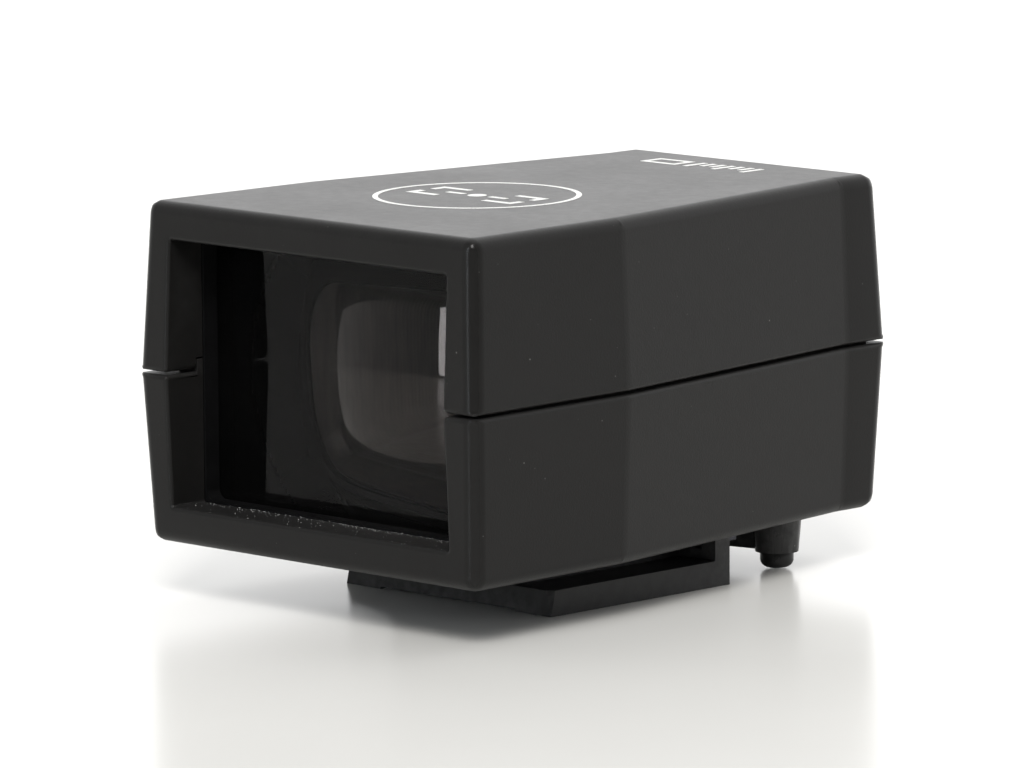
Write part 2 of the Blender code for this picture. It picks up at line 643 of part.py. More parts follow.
def make_shoe_foot(parts, tools, material):
    """Flange, narrow neck and full-width stop block in one moulding."""
    foot = box(
        "shoe_foot", (-FOOT_HALF_WIDTH, FOOT_FRONT_Y, 0.0), (FOOT_HALF_WIDTH, FOOT_REAR_Y, FOOT_THICKNESS),
        parts, material)
    for side in (-1, 1):
        boolean(foot, corner_wedge(f"cut_foot_corner_{side + 1}", side, tools), "DIFFERENCE")
    stop_front = FOOT_REAR_Y - FOOT_STOP_THICKNESS
    top = BODY_BOTTOM - FOOT_SEAT_GAP
    neck = box(
        "add_foot_neck", (-FOOT_NECK_HALF_WIDTH, FOOT_FRONT_Y + 1 * MM, FOOT_THICKNESS - INTO),
        (FOOT_NECK_HALF_WIDTH, stop_front + INTO, top), tools)
    stop = box(
        "add_foot_stop", (-FOOT_HALF_WIDTH, stop_front, 0.0), (FOOT_HALF_WIDTH, FOOT_REAR_Y, top), tools)
    boolean(foot, cutter(neck), "UNION")
    boolean(foot, cutter(stop), "UNION")
    recess = box(
        "cut_foot_recess", (-FOOT_NECK_HALF_WIDTH, FOOT_FRONT_Y - PAST, -PAST),
        (FOOT_NECK_HALF_WIDTH, FOOT_REAR_Y - 3 * MM, FOOT_RECESS_DEPTH), tools)
    boolean(foot, cutter(recess), "DIFFERENCE")
    for place, y in FOOT_SCREWS:
        bore = upright_cylinder(
            "cut_foot_bore_" + place, FOOT_SCREW_SHANK + SCREW_CLEARANCE, (0.0, y), -PAST, BODY_BOTTOM + PAST,
            tools, segments=16)
        sink = upright_cylinder(
            "cut_foot_sink_" + place, FOOT_SCREW_HEAD + SCREW_CLEARANCE, (0.0, y), -PAST, FOOT_SINK_DEPTH,
            tools, segments=20)
        boolean(foot, cutter(bore), "DIFFERENCE")
        boolean(foot, cutter(sink), "DIFFERENCE")
    for side in (-1, 1):
        slot = box(
            f"cut_prong_slot_{side + 1}",
            (side * PRONG_X - PRONG_SLOT_HALF_WIDTH, stop_front - PAST, YOKE_LOW - YOKE_SLOT_PLAY),
            (side * PRONG_X + PRONG_SLOT_HALF_WIDTH, FOOT_REAR_Y + PAST, YOKE_HIGH + YOKE_SLOT_PLAY), tools)
        boolean(foot, cutter(slot), "DIFFERENCE")
    return foot


def cross_screw(name, head_radius, head_height, shank_radius, length, location, parts, tools, material):
    """Cheese-head screw with a cross recess, head at the bottom and shank pointing up."""
    profile = [
        (0.0, length),
        (shank_radius - SCREW_BREAK, length),
        (shank_radius, length - 0.2 * MM),
        (shank_radius, head_height),
        (head_radius, head_height),
        (head_radius, SCREW_BREAK),
        (head_radius - SCREW_BREAK, 0.0),
        (0.0, 0.0),
    ]
    screw = turned(name, profile, location, False, parts, material, 16)
    x, y, z = location
    depth = head_height * 0.55
    width = head_radius * 0.16
    reach = head_radius * 0.62
    arms = (
        ("a", (x - reach, y - width, z - PAST), (x + reach, y + width, z + depth)),
        ("b", (x - width, y - reach, z - PAST), (x + width, y + reach, z + depth)),
    )
    for label, low, high in arms:
        arm = box(f"cut_recess_{label}_{name}", low, high, tools)
        boolean(screw, cutter(arm), "DIFFERENCE")
    return screw


def make_fasteners(parts, tools, material):
    for place, x, y in CASE_SCREWS:
        head_z = BODY_BOTTOM + SINK_PLAY
        cross_screw(
            "case_screw_" + place, CASE_SCREW_HEAD, CASE_SCREW_HEAD_HEIGHT, CASE_SCREW_SHANK,
            CASE_SCREW_LENGTH, (x, y, head_z), parts, tools, material)
    for place, y in FOOT_SCREWS:
        cross_screw(
            "foot_screw_" + place, FOOT_SCREW_HEAD, FOOT_SCREW_HEAD_HEIGHT, FOOT_SCREW_SHANK,
            FOOT_SCREW_LENGTH, (0.0, y, FOOT_SCREW_SUNK), parts, tools, material)


def make_lock_lever(parts, tools, material):
    """Cam hub, arm and tapered boss; the object's origin lies on the pivot's axis."""
    hub_x = HUB_OFFSET * math.cos(HUB_OFFSET_ANGLE)
    hub_y = PIVOT_Y + HUB_OFFSET * math.sin(HUB_OFFSET_ANGLE)
    lever = upright_cylinder(
        "lock_lever", HUB_RADIUS, (hub_x, hub_y), LEVER_BOTTOM + LEVER_STEP, LEVER_TOP, parts, material,
        segments=32)
    reach = Vector((KNOB_X, KNOB_Y - PIVOT_Y))
    along = reach.normalized()
    across = Vector((-along.y, along.x)) * LEVER_ARM_HALF_WIDTH
    start = Vector((0.0, PIVOT_Y)) + along * LEVER_ARM_START
    end = Vector((KNOB_X, KNOB_Y))
    corners = (start + across, start - across, end - across, end + across)
    arm = solid_between(
        "add_lever_arm",
        [(c.x, c.y, LEVER_BOTTOM + 0.1 * MM) for c in corners],
        [(c.x, c.y, LEVER_TOP - 0.05 * MM) for c in corners], tools)
    boss = upright_cylinder(
        "add_lever_boss", BOSS_BOTTOM_RADIUS, (KNOB_X, KNOB_Y), LEVER_BOTTOM, LEVER_TOP, tools, segments=24,
        top_radius=BOSS_TOP_RADIUS)
    boolean(lever, cutter(arm), "UNION")
    boolean(lever, cutter(boss), "UNION")
    pivot_bore = upright_cylinder(
        "cut_lever_pivot_bore", LEVER_BORE, (0.0, PIVOT_Y), -PAST, BODY_BOTTOM, tools, segments=20)
    head_sink = upright_cylinder(
        "cut_lever_head_sink", LEVER_HEAD_SINK, (0.0, PIVOT_Y), -PAST, LEVER_BOTTOM + 0.95 * MM, tools,
        segments=20)
    knob_socket = upright_cylinder(
        "cut_lever_knob_socket", KNOB_SPIGOT + SCREW_CLEARANCE, (KNOB_X, KNOB_Y), -PAST,
        LEVER_TOP - KNOB_SOCKET_ROOF, tools, segments=16)
    for tool in (pivot_bore, head_sink, knob_socket):
        boolean(lever, cutter(tool), "DIFFERENCE")
    move_origin(lever, (0.0, PIVOT_Y, 0.0))
    return lever


def move_origin(obj, point):
    """Put the object's origin at a world point without moving its shape."""
    shift = Vector(point) - obj.location
    obj.data.transform(Matrix.Translation(-shift))
    obj.location = point


def make_lever_knob(parts, material):
    """Round-ended pin with a spigot that is pressed into the lever's boss."""
    dome = []
    for step in range(5):
        angle = math.radians(90.0 * step / 4)
        dome.append((
            KNOB_RADIUS - KNOB_DOME + KNOB_DOME * math.cos(angle),
            KNOB_BOTTOM + KNOB_DOME - KNOB_DOME * math.sin(angle)))
    neck = LEVER_BOTTOM - 0.06 * MM
    spigot_top = LEVER_TOP - 0.8 * MM
    profile = [(0.0, spigot_top), (KNOB_SPIGOT, spigot_top), (KNOB_SPIGOT, neck), (KNOB_RADIUS, neck)]
    profile += dome
    profile.append((0.0, KNOB_BOTTOM))
    return turned("lever_knob", profile, (KNOB_X, KNOB_Y, 0.0), False, parts, material, 24)


def make_pivot(parts, tools, material, washer_material):
    """Shoulder screw that the lever turns on, with a spring washer above the lever."""
    head_low = LEVER_BOTTOM + 0.3 * MM
    shoulder_z = BODY_BOTTOM - 0.02 * MM
    profile = [
        (0.0, PIVOT_TIP_Z),
        (PIVOT_SHANK - SCREW_BREAK, PIVOT_TIP_Z),
        (PIVOT_SHANK, PIVOT_TIP_Z - 0.2 * MM),
        (PIVOT_SHANK, shoulder_z),
        (PIVOT_SHOULDER, shoulder_z),
        (PIVOT_SHOULDER, head_low + PIVOT_HEAD_HEIGHT),
        (PIVOT_HEAD, head_low + PIVOT_HEAD_HEIGHT),
        (PIVOT_HEAD, head_low),
        (0.0, head_low),
    ]
    pivot = turned("lever_pivot_screw", profile, (0.0, PIVOT_Y, 0.0), False, parts, material, 20)
    slot = box(
        "cut_pivot_slot", (-BOSS_RADIUS, PIVOT_Y - 0.2 * MM, -PAST),
        (BOSS_RADIUS, PIVOT_Y + 0.2 * MM, head_low + PIVOT_HEAD_HEIGHT / 2), tools)
    boolean(pivot, cutter(slot), "DIFFERENCE")
    washer = [
        (WASHER_RADIUS, WASHER_THICKNESS),
        (WASHER_RADIUS, 0.0),
        (LEVER_BORE, 0.0),
        (LEVER_BORE, WASHER_THICKNESS),
    ]
    washer_z = LEVER_TOP + WASHER_GAP
    turned("lever_washer", washer, (0.0, PIVOT_Y, washer_z), False, parts, washer_material, 20)


def make_lock_yoke(parts, tools, material):
    """Sliding yoke behind the stop block; two prongs reach through to the ends of the shoe's rails."""
    bar_front = FOOT_REAR_Y + YOKE_FRONT_GAP
    bar_rear = PIVOT_Y - HUB_RADIUS - HUB_OFFSET * math.sin(-HUB_OFFSET_ANGLE) - YOKE_REAR_GAP
    half_bar = PRONG_X + PRONG_HALF_WIDTH
    nose = FOOT_REAR_Y - FOOT_STOP_THICKNESS + PRONG_SETBACK
    yoke = box(
        "lock_yoke", (-half_bar, bar_front, YOKE_LOW), (half_bar, bar_rear, YOKE_HIGH), parts, material)
    for side in (-1, 1):
        prong = box(
            f"add_prong_{side + 1}", (side * PRONG_X - PRONG_HALF_WIDTH, nose, YOKE_LOW),
            (side * PRONG_X + PRONG_HALF_WIDTH, bar_front + INTO, YOKE_HIGH), tools)
        boolean(yoke, cutter(prong), "UNION")
    return yoke


def build():
    clear_scene()
    parts = new_collection("shoe_viewfinder")
    tools = new_collection("cutters")
    materials = {
        "case": principled("case_black_plastic", (0.022, 0.022, 0.024), 0.45),
        "matt_black": principled("matt_black_plastic", (0.015, 0.015, 0.016), 0.7),
        "foot": principled("foot_black_plastic", (0.028, 0.028, 0.03), 0.5),
        "glass": principled("coated_glass", (0.55, 0.5, 0.48), 0.03, 0.0, 0.85),
        "rubber": principled("black_rubber", (0.02, 0.02, 0.02), 0.75),
        "foam": principled("black_foam", (0.03, 0.03, 0.032), 0.95),
        "blackened_steel": principled("blackened_steel", (0.05, 0.05, 0.055), 0.4, 1.0),
        "steel": principled("plain_steel", (0.5, 0.5, 0.52), 0.3, 1.0),
        "mask": principled("mask_foil", (0.03, 0.03, 0.03), 0.5, 0.6),
    }
    upper = make_upper_shell(parts, tools, materials["case"])
    lower = make_lower_shell(parts, tools, materials["case"])
    cut_sight_openings((upper, lower), tools)
    frame_piece(
        "window_gasket", (LENS_HALF_WIDTH, LENS_HALF_HEIGHT), GASKET_OPENING, WINDOW_CORNER, GASKET_Y,
        GASKET_THICKNESS, parts, tools, materials["rubber"])
    make_front_lens(parts, tools, materials["glass"])
    make_lens_pads(parts, materials["foam"])
    frame_piece(
        "lens_retainer", RETAINER_OUTER, RETAINER_OPENING, RETAINER_CORNER, RETAINER_Y, RETAINER_THICKNESS,
        parts, tools, materials["matt_black"])
    frame_piece(
        "field_mask", MASK_OUTER, MASK_OPENING, MASK_CORNER, FIELD_MASK_Y, MASK_THICKNESS, parts, tools,
        materials["mask"], MASK_DROP)
    make_light_tunnel(parts, tools, materials["matt_black"])
    make_reticle(parts, tools, materials["mask"])
    make_eyepiece(parts, materials)
    make_shoe_foot(parts, tools, materials["foot"])
    make_fasteners(parts, tools, materials["steel"])
    make_lock_lever(parts, tools, materials["foot"])
    make_lever_knob(parts, materials["foot"])
    make_pivot(parts, tools, materials["blackened_steel"], materials["steel"])
    make_lock_yoke(parts, tools, materials["blackened_steel"])


build()
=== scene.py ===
"""Shoe-mounted bright-line viewfinder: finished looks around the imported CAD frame.

Frame: +X is to the right for someone who looks into the window, -Y towards the subject, +Y towards the eye,
and
+Z up.  The origin is under the middle of the body, on the plane that the foot stands on.  Lengths in metres.
"""
import json
import math
import random

import bmesh
import bpy
from mathutils import Matrix, Vector

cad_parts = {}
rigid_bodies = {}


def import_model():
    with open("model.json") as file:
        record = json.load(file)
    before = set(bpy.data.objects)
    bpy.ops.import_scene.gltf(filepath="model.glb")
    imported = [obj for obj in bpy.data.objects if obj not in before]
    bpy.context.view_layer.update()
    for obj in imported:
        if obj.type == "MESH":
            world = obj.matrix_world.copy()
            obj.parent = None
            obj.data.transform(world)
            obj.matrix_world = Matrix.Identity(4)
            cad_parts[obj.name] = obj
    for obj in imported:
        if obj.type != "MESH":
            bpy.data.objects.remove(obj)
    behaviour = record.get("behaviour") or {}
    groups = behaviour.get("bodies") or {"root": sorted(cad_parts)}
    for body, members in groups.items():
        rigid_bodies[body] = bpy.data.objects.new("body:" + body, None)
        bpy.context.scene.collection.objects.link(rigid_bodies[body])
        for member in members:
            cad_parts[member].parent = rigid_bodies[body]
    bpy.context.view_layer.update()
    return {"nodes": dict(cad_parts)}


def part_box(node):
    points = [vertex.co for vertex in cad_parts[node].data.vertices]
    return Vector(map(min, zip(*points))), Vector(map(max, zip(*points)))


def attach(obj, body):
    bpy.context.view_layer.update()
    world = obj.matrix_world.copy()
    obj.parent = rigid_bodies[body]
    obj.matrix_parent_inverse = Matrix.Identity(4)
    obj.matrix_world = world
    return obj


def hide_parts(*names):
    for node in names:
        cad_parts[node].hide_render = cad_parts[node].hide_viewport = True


for leftover in list(bpy.data.objects):
    bpy.data.objects.remove(leftover, do_unlink=True)

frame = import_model()
NODES = frame["nodes"]

MM = 0.001
BODY = "finder_body"

# Casing
BODY_LENGTH = 42.0 * MM
FRONT_Y = -BODY_LENGTH / 2
REAR_Y = BODY_LENGTH / 2
FRONT_HALF_WIDTH = 15.25 * MM
FIRST_CREASE_Y = FRONT_Y + 14.0 * MM
FIRST_CREASE_HALF_WIDTH = 14.87 * MM
SECOND_CREASE_Y = FRONT_Y + 37.9 * MM
REAR_HALF_WIDTH = 11.3 * MM
BODY_BOTTOM = 3.7 * MM
BODY_TOP = 25.6 * MM
SEAM_Z = 14.65 * MM
DRAFT = 0.046
WALL = 1.5 * MM
REAR_WALL = 1.6 * MM
SEAM_GAP = 0.2 * MM
PRINT_ROOM = 0.03 * MM
UPRIGHT_ROUND = 1.0 * MM
REAR_ROUND = 1.15 * MM
WIDEST_ROUND = REAR_ROUND
LONG_EDGE_ROUND = 0.8 * MM
SEAM_ROUND = 0.3 * MM
MOUTH_ROUND = 0.28 * MM
CREASE_ROUND = 0.3 * MM
END_ZONE = 1.5 * MM
LIP_INSET = 1.02 * MM
LIP_THICKNESS = 0.45 * MM
LIP_DEPTH = 1.5 * MM
LIP_HEIGHT = 0.7 * MM
LIP_CLEARANCE = 0.12 * MM
TOUCH = 0.01 * MM
CLEAR = 2 * MM

# Eye end
EYE_BORE_RADIUS = 5.5 * MM
EYE_RECESS_RADIUS = 7.3 * MM
EYE_RECESS_DEPTH = 0.8 * MM
EYE_LENS_RADIUS = 4.8 * MM
EYE_LENS_EDGE = 1.1 * MM
EYE_LENS_CROWN = 0.75 * MM
EYE_RING_PROFILE = (
    (7.2 * MM, -0.22 * MM), (7.2 * MM, -0.75 * MM), (5.4 * MM, -0.75 * MM), (5.4 * MM, -1.5 * MM),
    (4.8 * MM, -1.5 * MM), (4.8 * MM, -0.95 * MM), (4.86 * MM, -0.8 * MM), (5.5 * MM, -0.28 * MM),
    (5.66 * MM, -0.16 * MM), (5.85 * MM, -0.08 * MM), (6.2 * MM, -0.02 * MM), (6.6 * MM, 0.0),
    (6.9 * MM, -0.02 * MM), (7.08 * MM, -0.08 * MM), (7.17 * MM, -0.15 * MM),
)

# Window stack
FRONT_WALL = 3.2 * MM
WINDOW_HALF_WIDTH = 12.45 * MM
WINDOW_HALF_HEIGHT = 8.55 * MM
WINDOW_CORNER = 0.2 * MM
WINDOW_OVERRUN = 0.5 * MM
LENS_Y = -16.45 * MM
LENS_HALF_WIDTH = 12.95 * MM
LENS_HALF_HEIGHT = 9.1 * MM
LENS_THICKNESS = 3.5 * MM
DISH_RADIUS = 25.5 * MM
DISH_DEPTH = 2.7 * MM
PAINTED_BAND = 0.16 * MM
PLATE_CORNER = 0.8 * MM
SEAL_SIZE = (12.95 * MM, 9.1 * MM)
SEAL_OPENING = (12.35 * MM, 8.45 * MM)
SEAL_CORNER = 0.7 * MM
SEAL_Y = -17.7 * MM
SEAL_THICKNESS = 1.15 * MM
RETAINER_SIZE = (12.6 * MM, 8.9 * MM)
RETAINER_OPENING = (11.8 * MM, 8.3 * MM)
RETAINER_CORNER = 3.0 * MM
RETAINER_Y = -12.85 * MM
RETAINER_THICKNESS = 0.8 * MM
MASK_SIZE = (12.4 * MM, 8.8 * MM)
MASK_OPENING = (11.2 * MM, 7.35 * MM)
MASK_CORNER = 5.0 * MM
MASK_DROP = 0.85 * MM
MASK_Y = -11.95 * MM
MASK_THICKNESS = 0.4 * MM

# Light tunnel: place along the line of sight, half width, half height
TUNNEL_SECTIONS = (
    (-11.45 * MM, 12.0 * MM, 8.9 * MM),
    (-9.3 * MM, 10.1 * MM, 7.85 * MM),
    (14.9 * MM, 6.5 * MM, 6.1 * MM),
)
TUNNEL_WALL = 0.8 * MM
TUNNEL_CORNER = 3.0 * MM
TUNNEL_STATIONS = 10

# Shoe lock
PIVOT_Y = 13.0 * MM
KNOB_X = 7.26 * MM
KNOB_Y = 14.5 * MM
LEVER_BOTTOM = 1.15 * MM
LEVER_TOP = 3.4 * MM
HUB_RADIUS = 2.3 * MM
HUB_OFFSET = 0.6 * MM
HUB_OFFSET_ANGLE = math.radians(-60.0)
ARM_HALF_WIDTH = 0.62 * MM
ARM_START = 1.4 * MM
BOSS_SECTIONS = (
    (1.42 * MM, LEVER_BOTTOM), (1.47 * MM, 1.7 * MM), (1.54 * MM, 2.5 * MM), (1.62 * MM, LEVER_TOP))
PIVOT_BORE_RADIUS = 1.25 * MM
PIVOT_RECESS_RADIUS = 1.7 * MM
PIVOT_RECESS_DEPTH = 0.95 * MM
PIN_BORE_RADIUS = 0.65 * MM
PIN_BORE_ROOF = 0.6 * MM
PIN_ROUND = 0.55 * MM
PIN_STEM_TOP = 2.6 * MM
PIN_HEAD_TOP = 1.09 * MM
PIN_BOTTOM = 0.1 * MM

CASE_SCREWS = (
    ("front_left", -11.9 * MM, -7.6 * MM),
    ("front_right", 11.9 * MM, -7.6 * MM),
    ("rear_left", -8.35 * MM, 16.4 * MM),
    ("rear_right", 8.35 * MM, 16.4 * MM),
)
FOOT_SCREWS = (("front", -5.4 * MM), ("rear", 0.4 * MM))
SINK_RADIUS = 1.1 * MM
SINK_DEPTH = 1.0 * MM

# Screws: head radius, head height, shank radius, length
CASE_SCREW_SIZE = (0.95 * MM, 0.75 * MM, 0.5 * MM, 15.0 * MM)
FOOT_SCREW_SIZE = (1.7 * MM, 0.95 * MM, 0.85 * MM, 5.8 * MM)
CASE_SCREW_REST = 0.15 * MM
FOOT_SCREW_REST = 0.45 * MM

# Prints
EMBLEM_CENTRE = (-0.5 * MM, -4.95 * MM)
EMBLEM_RING = (6.66 * MM, 6.3 * MM)
FRAME_HALF = (4.7 * MM, 1.75 * MM)
FRAME_ARMS = (2.6 * MM, 1.3 * MM)
FRAME_PEN = 0.5 * MM
CROSS_REACH = 1.9 * MM
CROSS_HALF = (0.75 * MM, 0.22 * MM)
DOT_RADIUS = 0.62 * MM
SCALE_FRAME_X = (-5.3 * MM, -2.2 * MM)
SCALE_FRAME_Y = (14.9 * MM, 16.9 * MM)
SCALE_PEN = 0.42 * MM
SCALE_START = -1.45 * MM
SCALE_STEP = 0.84 * MM
SCALE_HEIGHTS = (2.0, 1.3, 1.3, 2.0, 1.3, 1.3, 2.0)

# Sill dust
SETTLED_GRAINS = 170
LOOSE_GRAINS = 70
DUST_HALF_SPAN = 12.0

# Surroundings
FLOOR_REACH = 1.6
FLOOR_DEPTH = 0.02
WORLD_BASE = 0.08
WORLD_BEHIND = 1.6
WORLD_LEFT = 0.75
CAMERA_PLACE = (0.35503, -0.35760, 0.08836)
CAMERA_AZIMUTH = math.radians(44.99)
CAMERA_ELEVATION = math.radians(8.508)
CAMERA_ROLL = math.radians(-0.4354)
CAMERA_LENS = 279.5
CAMERA_SENSOR = 36.0


# ---------------------------------------------------------------- materials

def new_material(name):
    material = bpy.data.materials.new(name)
    material.use_nodes = True
    tree = material.node_tree
    shader = tree.nodes["Principled BSDF"]
    return material, tree, shader


def add_node(tree, kind, settings=None, inputs=None):
    node = tree.nodes.new(kind)
    for key, value in (settings or {}).items():
        setattr(node, key, value)
    for key, value in (inputs or {}).items():
        node.inputs[key].default_value = value
    return node


def in_millimetres(tree, stretch=(1.0, 1.0, 1.0)):
    """Object coordinates in millimetres, optionally stretched along an axis."""
    where = add_node(tree, "ShaderNodeTexCoord")
    scaled = add_node(tree, "ShaderNodeMapping")
    scaled.inputs["Scale"].default_value = [1000.0 * s for s in stretch]
    tree.links.new(where.outputs["Object"], scaled.inputs["Vector"])
    return scaled.outputs["Vector"]


def noise(tree, vector, scale, detail=3.0, roughness=0.5, distortion=0.0):
    node = add_node(tree, "ShaderNodeTexNoise", inputs={
        "Scale": scale, "Detail": detail, "Roughness": roughness, "Distortion": distortion})
    tree.links.new(vector, node.inputs["Vector"])
    return node.outputs["Fac"]


def remap(tree, value, low, high, to_low, to_high):
    node = add_node(tree, "ShaderNodeMapRange", inputs={
        "From Min": low, "From Max": high, "To Min": to_low, "To Max": to_high})
    tree.links.new(value, node.inputs["Value"])
    return node.outputs["Result"]


def combine(tree, operation, first, second):
    node = add_node(tree, "ShaderNodeMath", {"operation": operation, "use_clamp": operation != "ADD"})
    for index, item in enumerate((first, second)):
        if isinstance(item, (int, float)):
            node.inputs[index].default_value = item
        else:
            tree.links.new(item, node.inputs[index])
    return node.outputs[0]


def blend_colours(tree, factor, first, second):
    node = add_node(tree, "ShaderNodeMix", {"data_type": "RGBA"})
    for socket, item in ((node.inputs[6], first), (node.inputs[7], second)):
        if isinstance(item, tuple):
            socket.default_value = (*item, 1.0)
        else:
            tree.links.new(item, socket)
    tree.links.new(factor, node.inputs[0])
    return node.outputs[2]


def speck_mask(tree, vector, per_mm, radius, keep):
    """Sparse round specks: a share of the cells of a Voronoi pattern carry one."""
    cells = add_node(tree, "ShaderNodeTexVoronoi", inputs={"Scale": per_mm, "Randomness": 1.0})
    tree.links.new(vector, cells.inputs["Vector"])
    split = add_node(tree, "ShaderNodeSeparateColor")
    tree.links.new(cells.outputs["Color"], split.inputs["Color"])
    near = remap(tree, cells.outputs["Distance"], radius * 0.6, radius, 1.0, 0.0)
    chosen = combine(tree, "GREATER_THAN", split.outputs["Red"], 1.0 - keep)
    return combine(tree, "MULTIPLY", near, chosen)


def bump(tree, shader, height, depth, strength=1.0):
    node = add_node(tree, "ShaderNodeBump", inputs={"Strength": strength, "Distance": depth})
    tree.links.new(height, node.inputs["Height"])
    tree.links.new(node.outputs["Normal"], shader.inputs["Normal"])


def moulded_plastic(
        name, dark, light, roughness, grain_per_mm, grain_depth, specular, dust=0.25, wear=0.5, coat=0.0):
    """Satin moulded plastic: fine grain, uneven sheen, polish on rubbed edges and upright corners, dust."""
    material, tree, shader = new_material(name)
    place = in_millimetres(tree)
    broad = noise(tree, place, 0.16, 4.0, 0.55)
    medium = noise(tree, place, 1.3, 3.0, 0.6)
    fine = noise(tree, place, grain_per_mm, 2.0, 0.65)
    tone = blend_colours(tree, remap(tree, broad, 0.3, 0.7, 0.0, 1.0), dark, light)
    shape = add_node(tree, "ShaderNodeNewGeometry")
    edge = remap(tree, shape.outputs["Pointiness"], 0.52, 0.62, 0.0, wear)
    rubbed = combine(tree, "MULTIPLY", edge, remap(tree, medium, 0.35, 0.65, 0.3, 1.0))
    brighter = tuple(min(1.0, channel * 2.6 + 0.004) for channel in light)
    tone = blend_colours(tree, rubbed, tone, brighter)
    specks = speck_mask(tree, place, 0.8, 0.05, 0.16)
    crumbs = speck_mask(tree, place, 2.1, 0.055, 0.05)
    dusty = combine(tree, "MULTIPLY", combine(tree, "MAXIMUM", specks, crumbs), dust)
    tone = blend_colours(tree, dusty, tone, (0.42, 0.42, 0.4))
    up = add_node(tree, "ShaderNodeSeparateXYZ")
    tree.links.new(shape.outputs["Normal"], up.inputs[0])
    lying = remap(tree, up.outputs["Z"], 0.6, 1.0, 0.0, 0.05)
    settled = noise(tree, place, 5.5, 4.0, 0.75)
    film = combine(tree, "MULTIPLY", lying, remap(tree, settled, 0.35, 0.7, 0.3, 1.0))
    tone = blend_colours(tree, film, tone, (0.3, 0.3, 0.3))
    tree.links.new(tone, shader.inputs["Base Color"])
    sheen_map = remap(tree, broad, 0.3, 0.7, roughness - 0.02, roughness + 0.02)
    sheen_map = combine(tree, "ADD", sheen_map, remap(tree, medium, 0.3, 0.7, -0.02, 0.02))
    sheen_map = combine(tree, "SUBTRACT", sheen_map, combine(tree, "MULTIPLY", rubbed, 0.1))
    across = combine(tree, "ABSOLUTE", up.outputs["X"], 0.0)
    ahead = combine(tree, "ABSOLUTE", up.outputs["Y"], 0.0)
    corner = remap(tree, combine(tree, "MULTIPLY", across, ahead), 0.2, 0.45, 0.0, 0.18)
    sheen_map = combine(tree, "SUBTRACT", sheen_map, corner)
    tree.links.new(sheen_map, shader.inputs["Roughness"])
    shader.inputs["Specular IOR Level"].default_value = specular
    shader.inputs["IOR"].default_value = 1.5
    shader.inputs["Coat Weight"].default_value = coat
    shader.inputs["Coat Roughness"].default_value = 0.16
    shader.inputs["Coat IOR"].default_value = 1.4
    grain = combine(tree, "ADD", fine, combine(tree, "MULTIPLY", dusty, 3.0))
    bump(tree, shader, grain, grain_depth)
    return material


def soft_rubber(name, colour, specular=0.25, sheen=0.05):
    """Matt rubber or paint: a fine skin and slow changes of tone."""
    material, tree, shader = new_material(name)
    place = in_millimetres(tree)
    fine = noise(tree, place, 14.0, 3.0, 0.6)
    broad = noise(tree, place, 0.7, 4.0, 0.6)
    lighter = tuple(channel * 1.9 for channel in colour)
    tone = blend_colours(tree, remap(tree, broad, 0.35, 0.65, 0.0, 1.0), colour, lighter)
    tree.links.new(tone, shader.inputs["Base Color"])
    tree.links.new(remap(tree, broad, 0.3, 0.7, 0.62, 0.8), shader.inputs["Roughness"])
    shader.inputs["Specular IOR Level"].default_value = specular
    shader.inputs["Sheen Weight"].default_value = sheen
    shader.inputs["Sheen Roughness"].default_value = 0.5
    bump(tree, shader, fine, 0.006 * MM)
    return material


def foam():
    """Open-celled foam."""
    material, tree, shader = new_material("black_foam")
    place = in_millimetres(tree)
    cells = add_node(tree, "ShaderNodeTexVoronoi", inputs={"Scale": 5.0})
    tree.links.new(place, cells.inputs["Vector"])
    tone = blend_colours(tree, cells.outputs["Distance"], (0.01, 0.01, 0.01), (0.04, 0.04, 0.042))
    tree.links.new(tone, shader.inputs["Base Color"])
    shader.inputs["Roughness"].default_value = 0.95
    shader.inputs["Specular IOR Level"].default_value = 0.1
    bump(tree, shader, cells.outputs["Distance"], 0.05 * MM)
    return material


def ribbed_matt(name, dark, light, roughness, ribs_per_mm, rib_depth):
    """Matt moulding with fine upright ribs across the line of sight, to kill stray light."""
    material, tree, shader = new_material(name)
    place = in_millimetres(tree)
    wave = add_node(tree, "ShaderNodeTexWave", {"bands_direction": "Y"}, {
        "Scale": ribs_per_mm, "Distortion": 0.35, "Detail": 2.0, "Detail Scale": 0.6})
    tree.links.new(place, wave.inputs["Vector"])
    mottled = noise(tree, in_millimetres(tree, (1.0, 1.0, 0.22)), 1.1, 4.0, 0.6)
    tone = blend_colours(tree, remap(tree, mottled, 0.35, 0.68, 0.0, 1.0), dark, light)
    tree.links.new(tone, shader.inputs["Base Color"])
    uneven = remap(tree, mottled, 0.3, 0.7, roughness - 0.08, roughness + 0.1)
    tree.links.new(uneven, shader.inputs["Roughness"])
    shader.inputs["Specular IOR Level"].default_value = 0.4
    bump(tree, shader, wave.outputs["Fac"], rib_depth, 0.8)
    return material


def turned_metal(name, colour, roughness):
    """Machined steel: tool marks, fingerprints and slight tarnish."""
    material, tree, shader = new_material(name)
    place = in_millimetres(tree)
    marks = noise(tree, in_millimetres(tree, (1.0, 1.0, 8.0)), 9.0, 4.0, 0.7)
    stain = noise(tree, place, 1.6, 4.0, 0.6)
    darker = tuple(channel * 0.6 for channel in colour)
    tone = blend_colours(tree, remap(tree, stain, 0.35, 0.7, 0.0, 0.8), colour, darker)
    tree.links.new(tone, shader.inputs["Base Color"])
    uneven = remap(tree, marks, 0.3, 0.7, roughness - 0.08, roughness + 0.12)
    tree.links.new(uneven, shader.inputs["Roughness"])
    shader.inputs["Metallic"].default_value = 1.0
    bump(tree, shader, marks, 0.003 * MM)
    return material


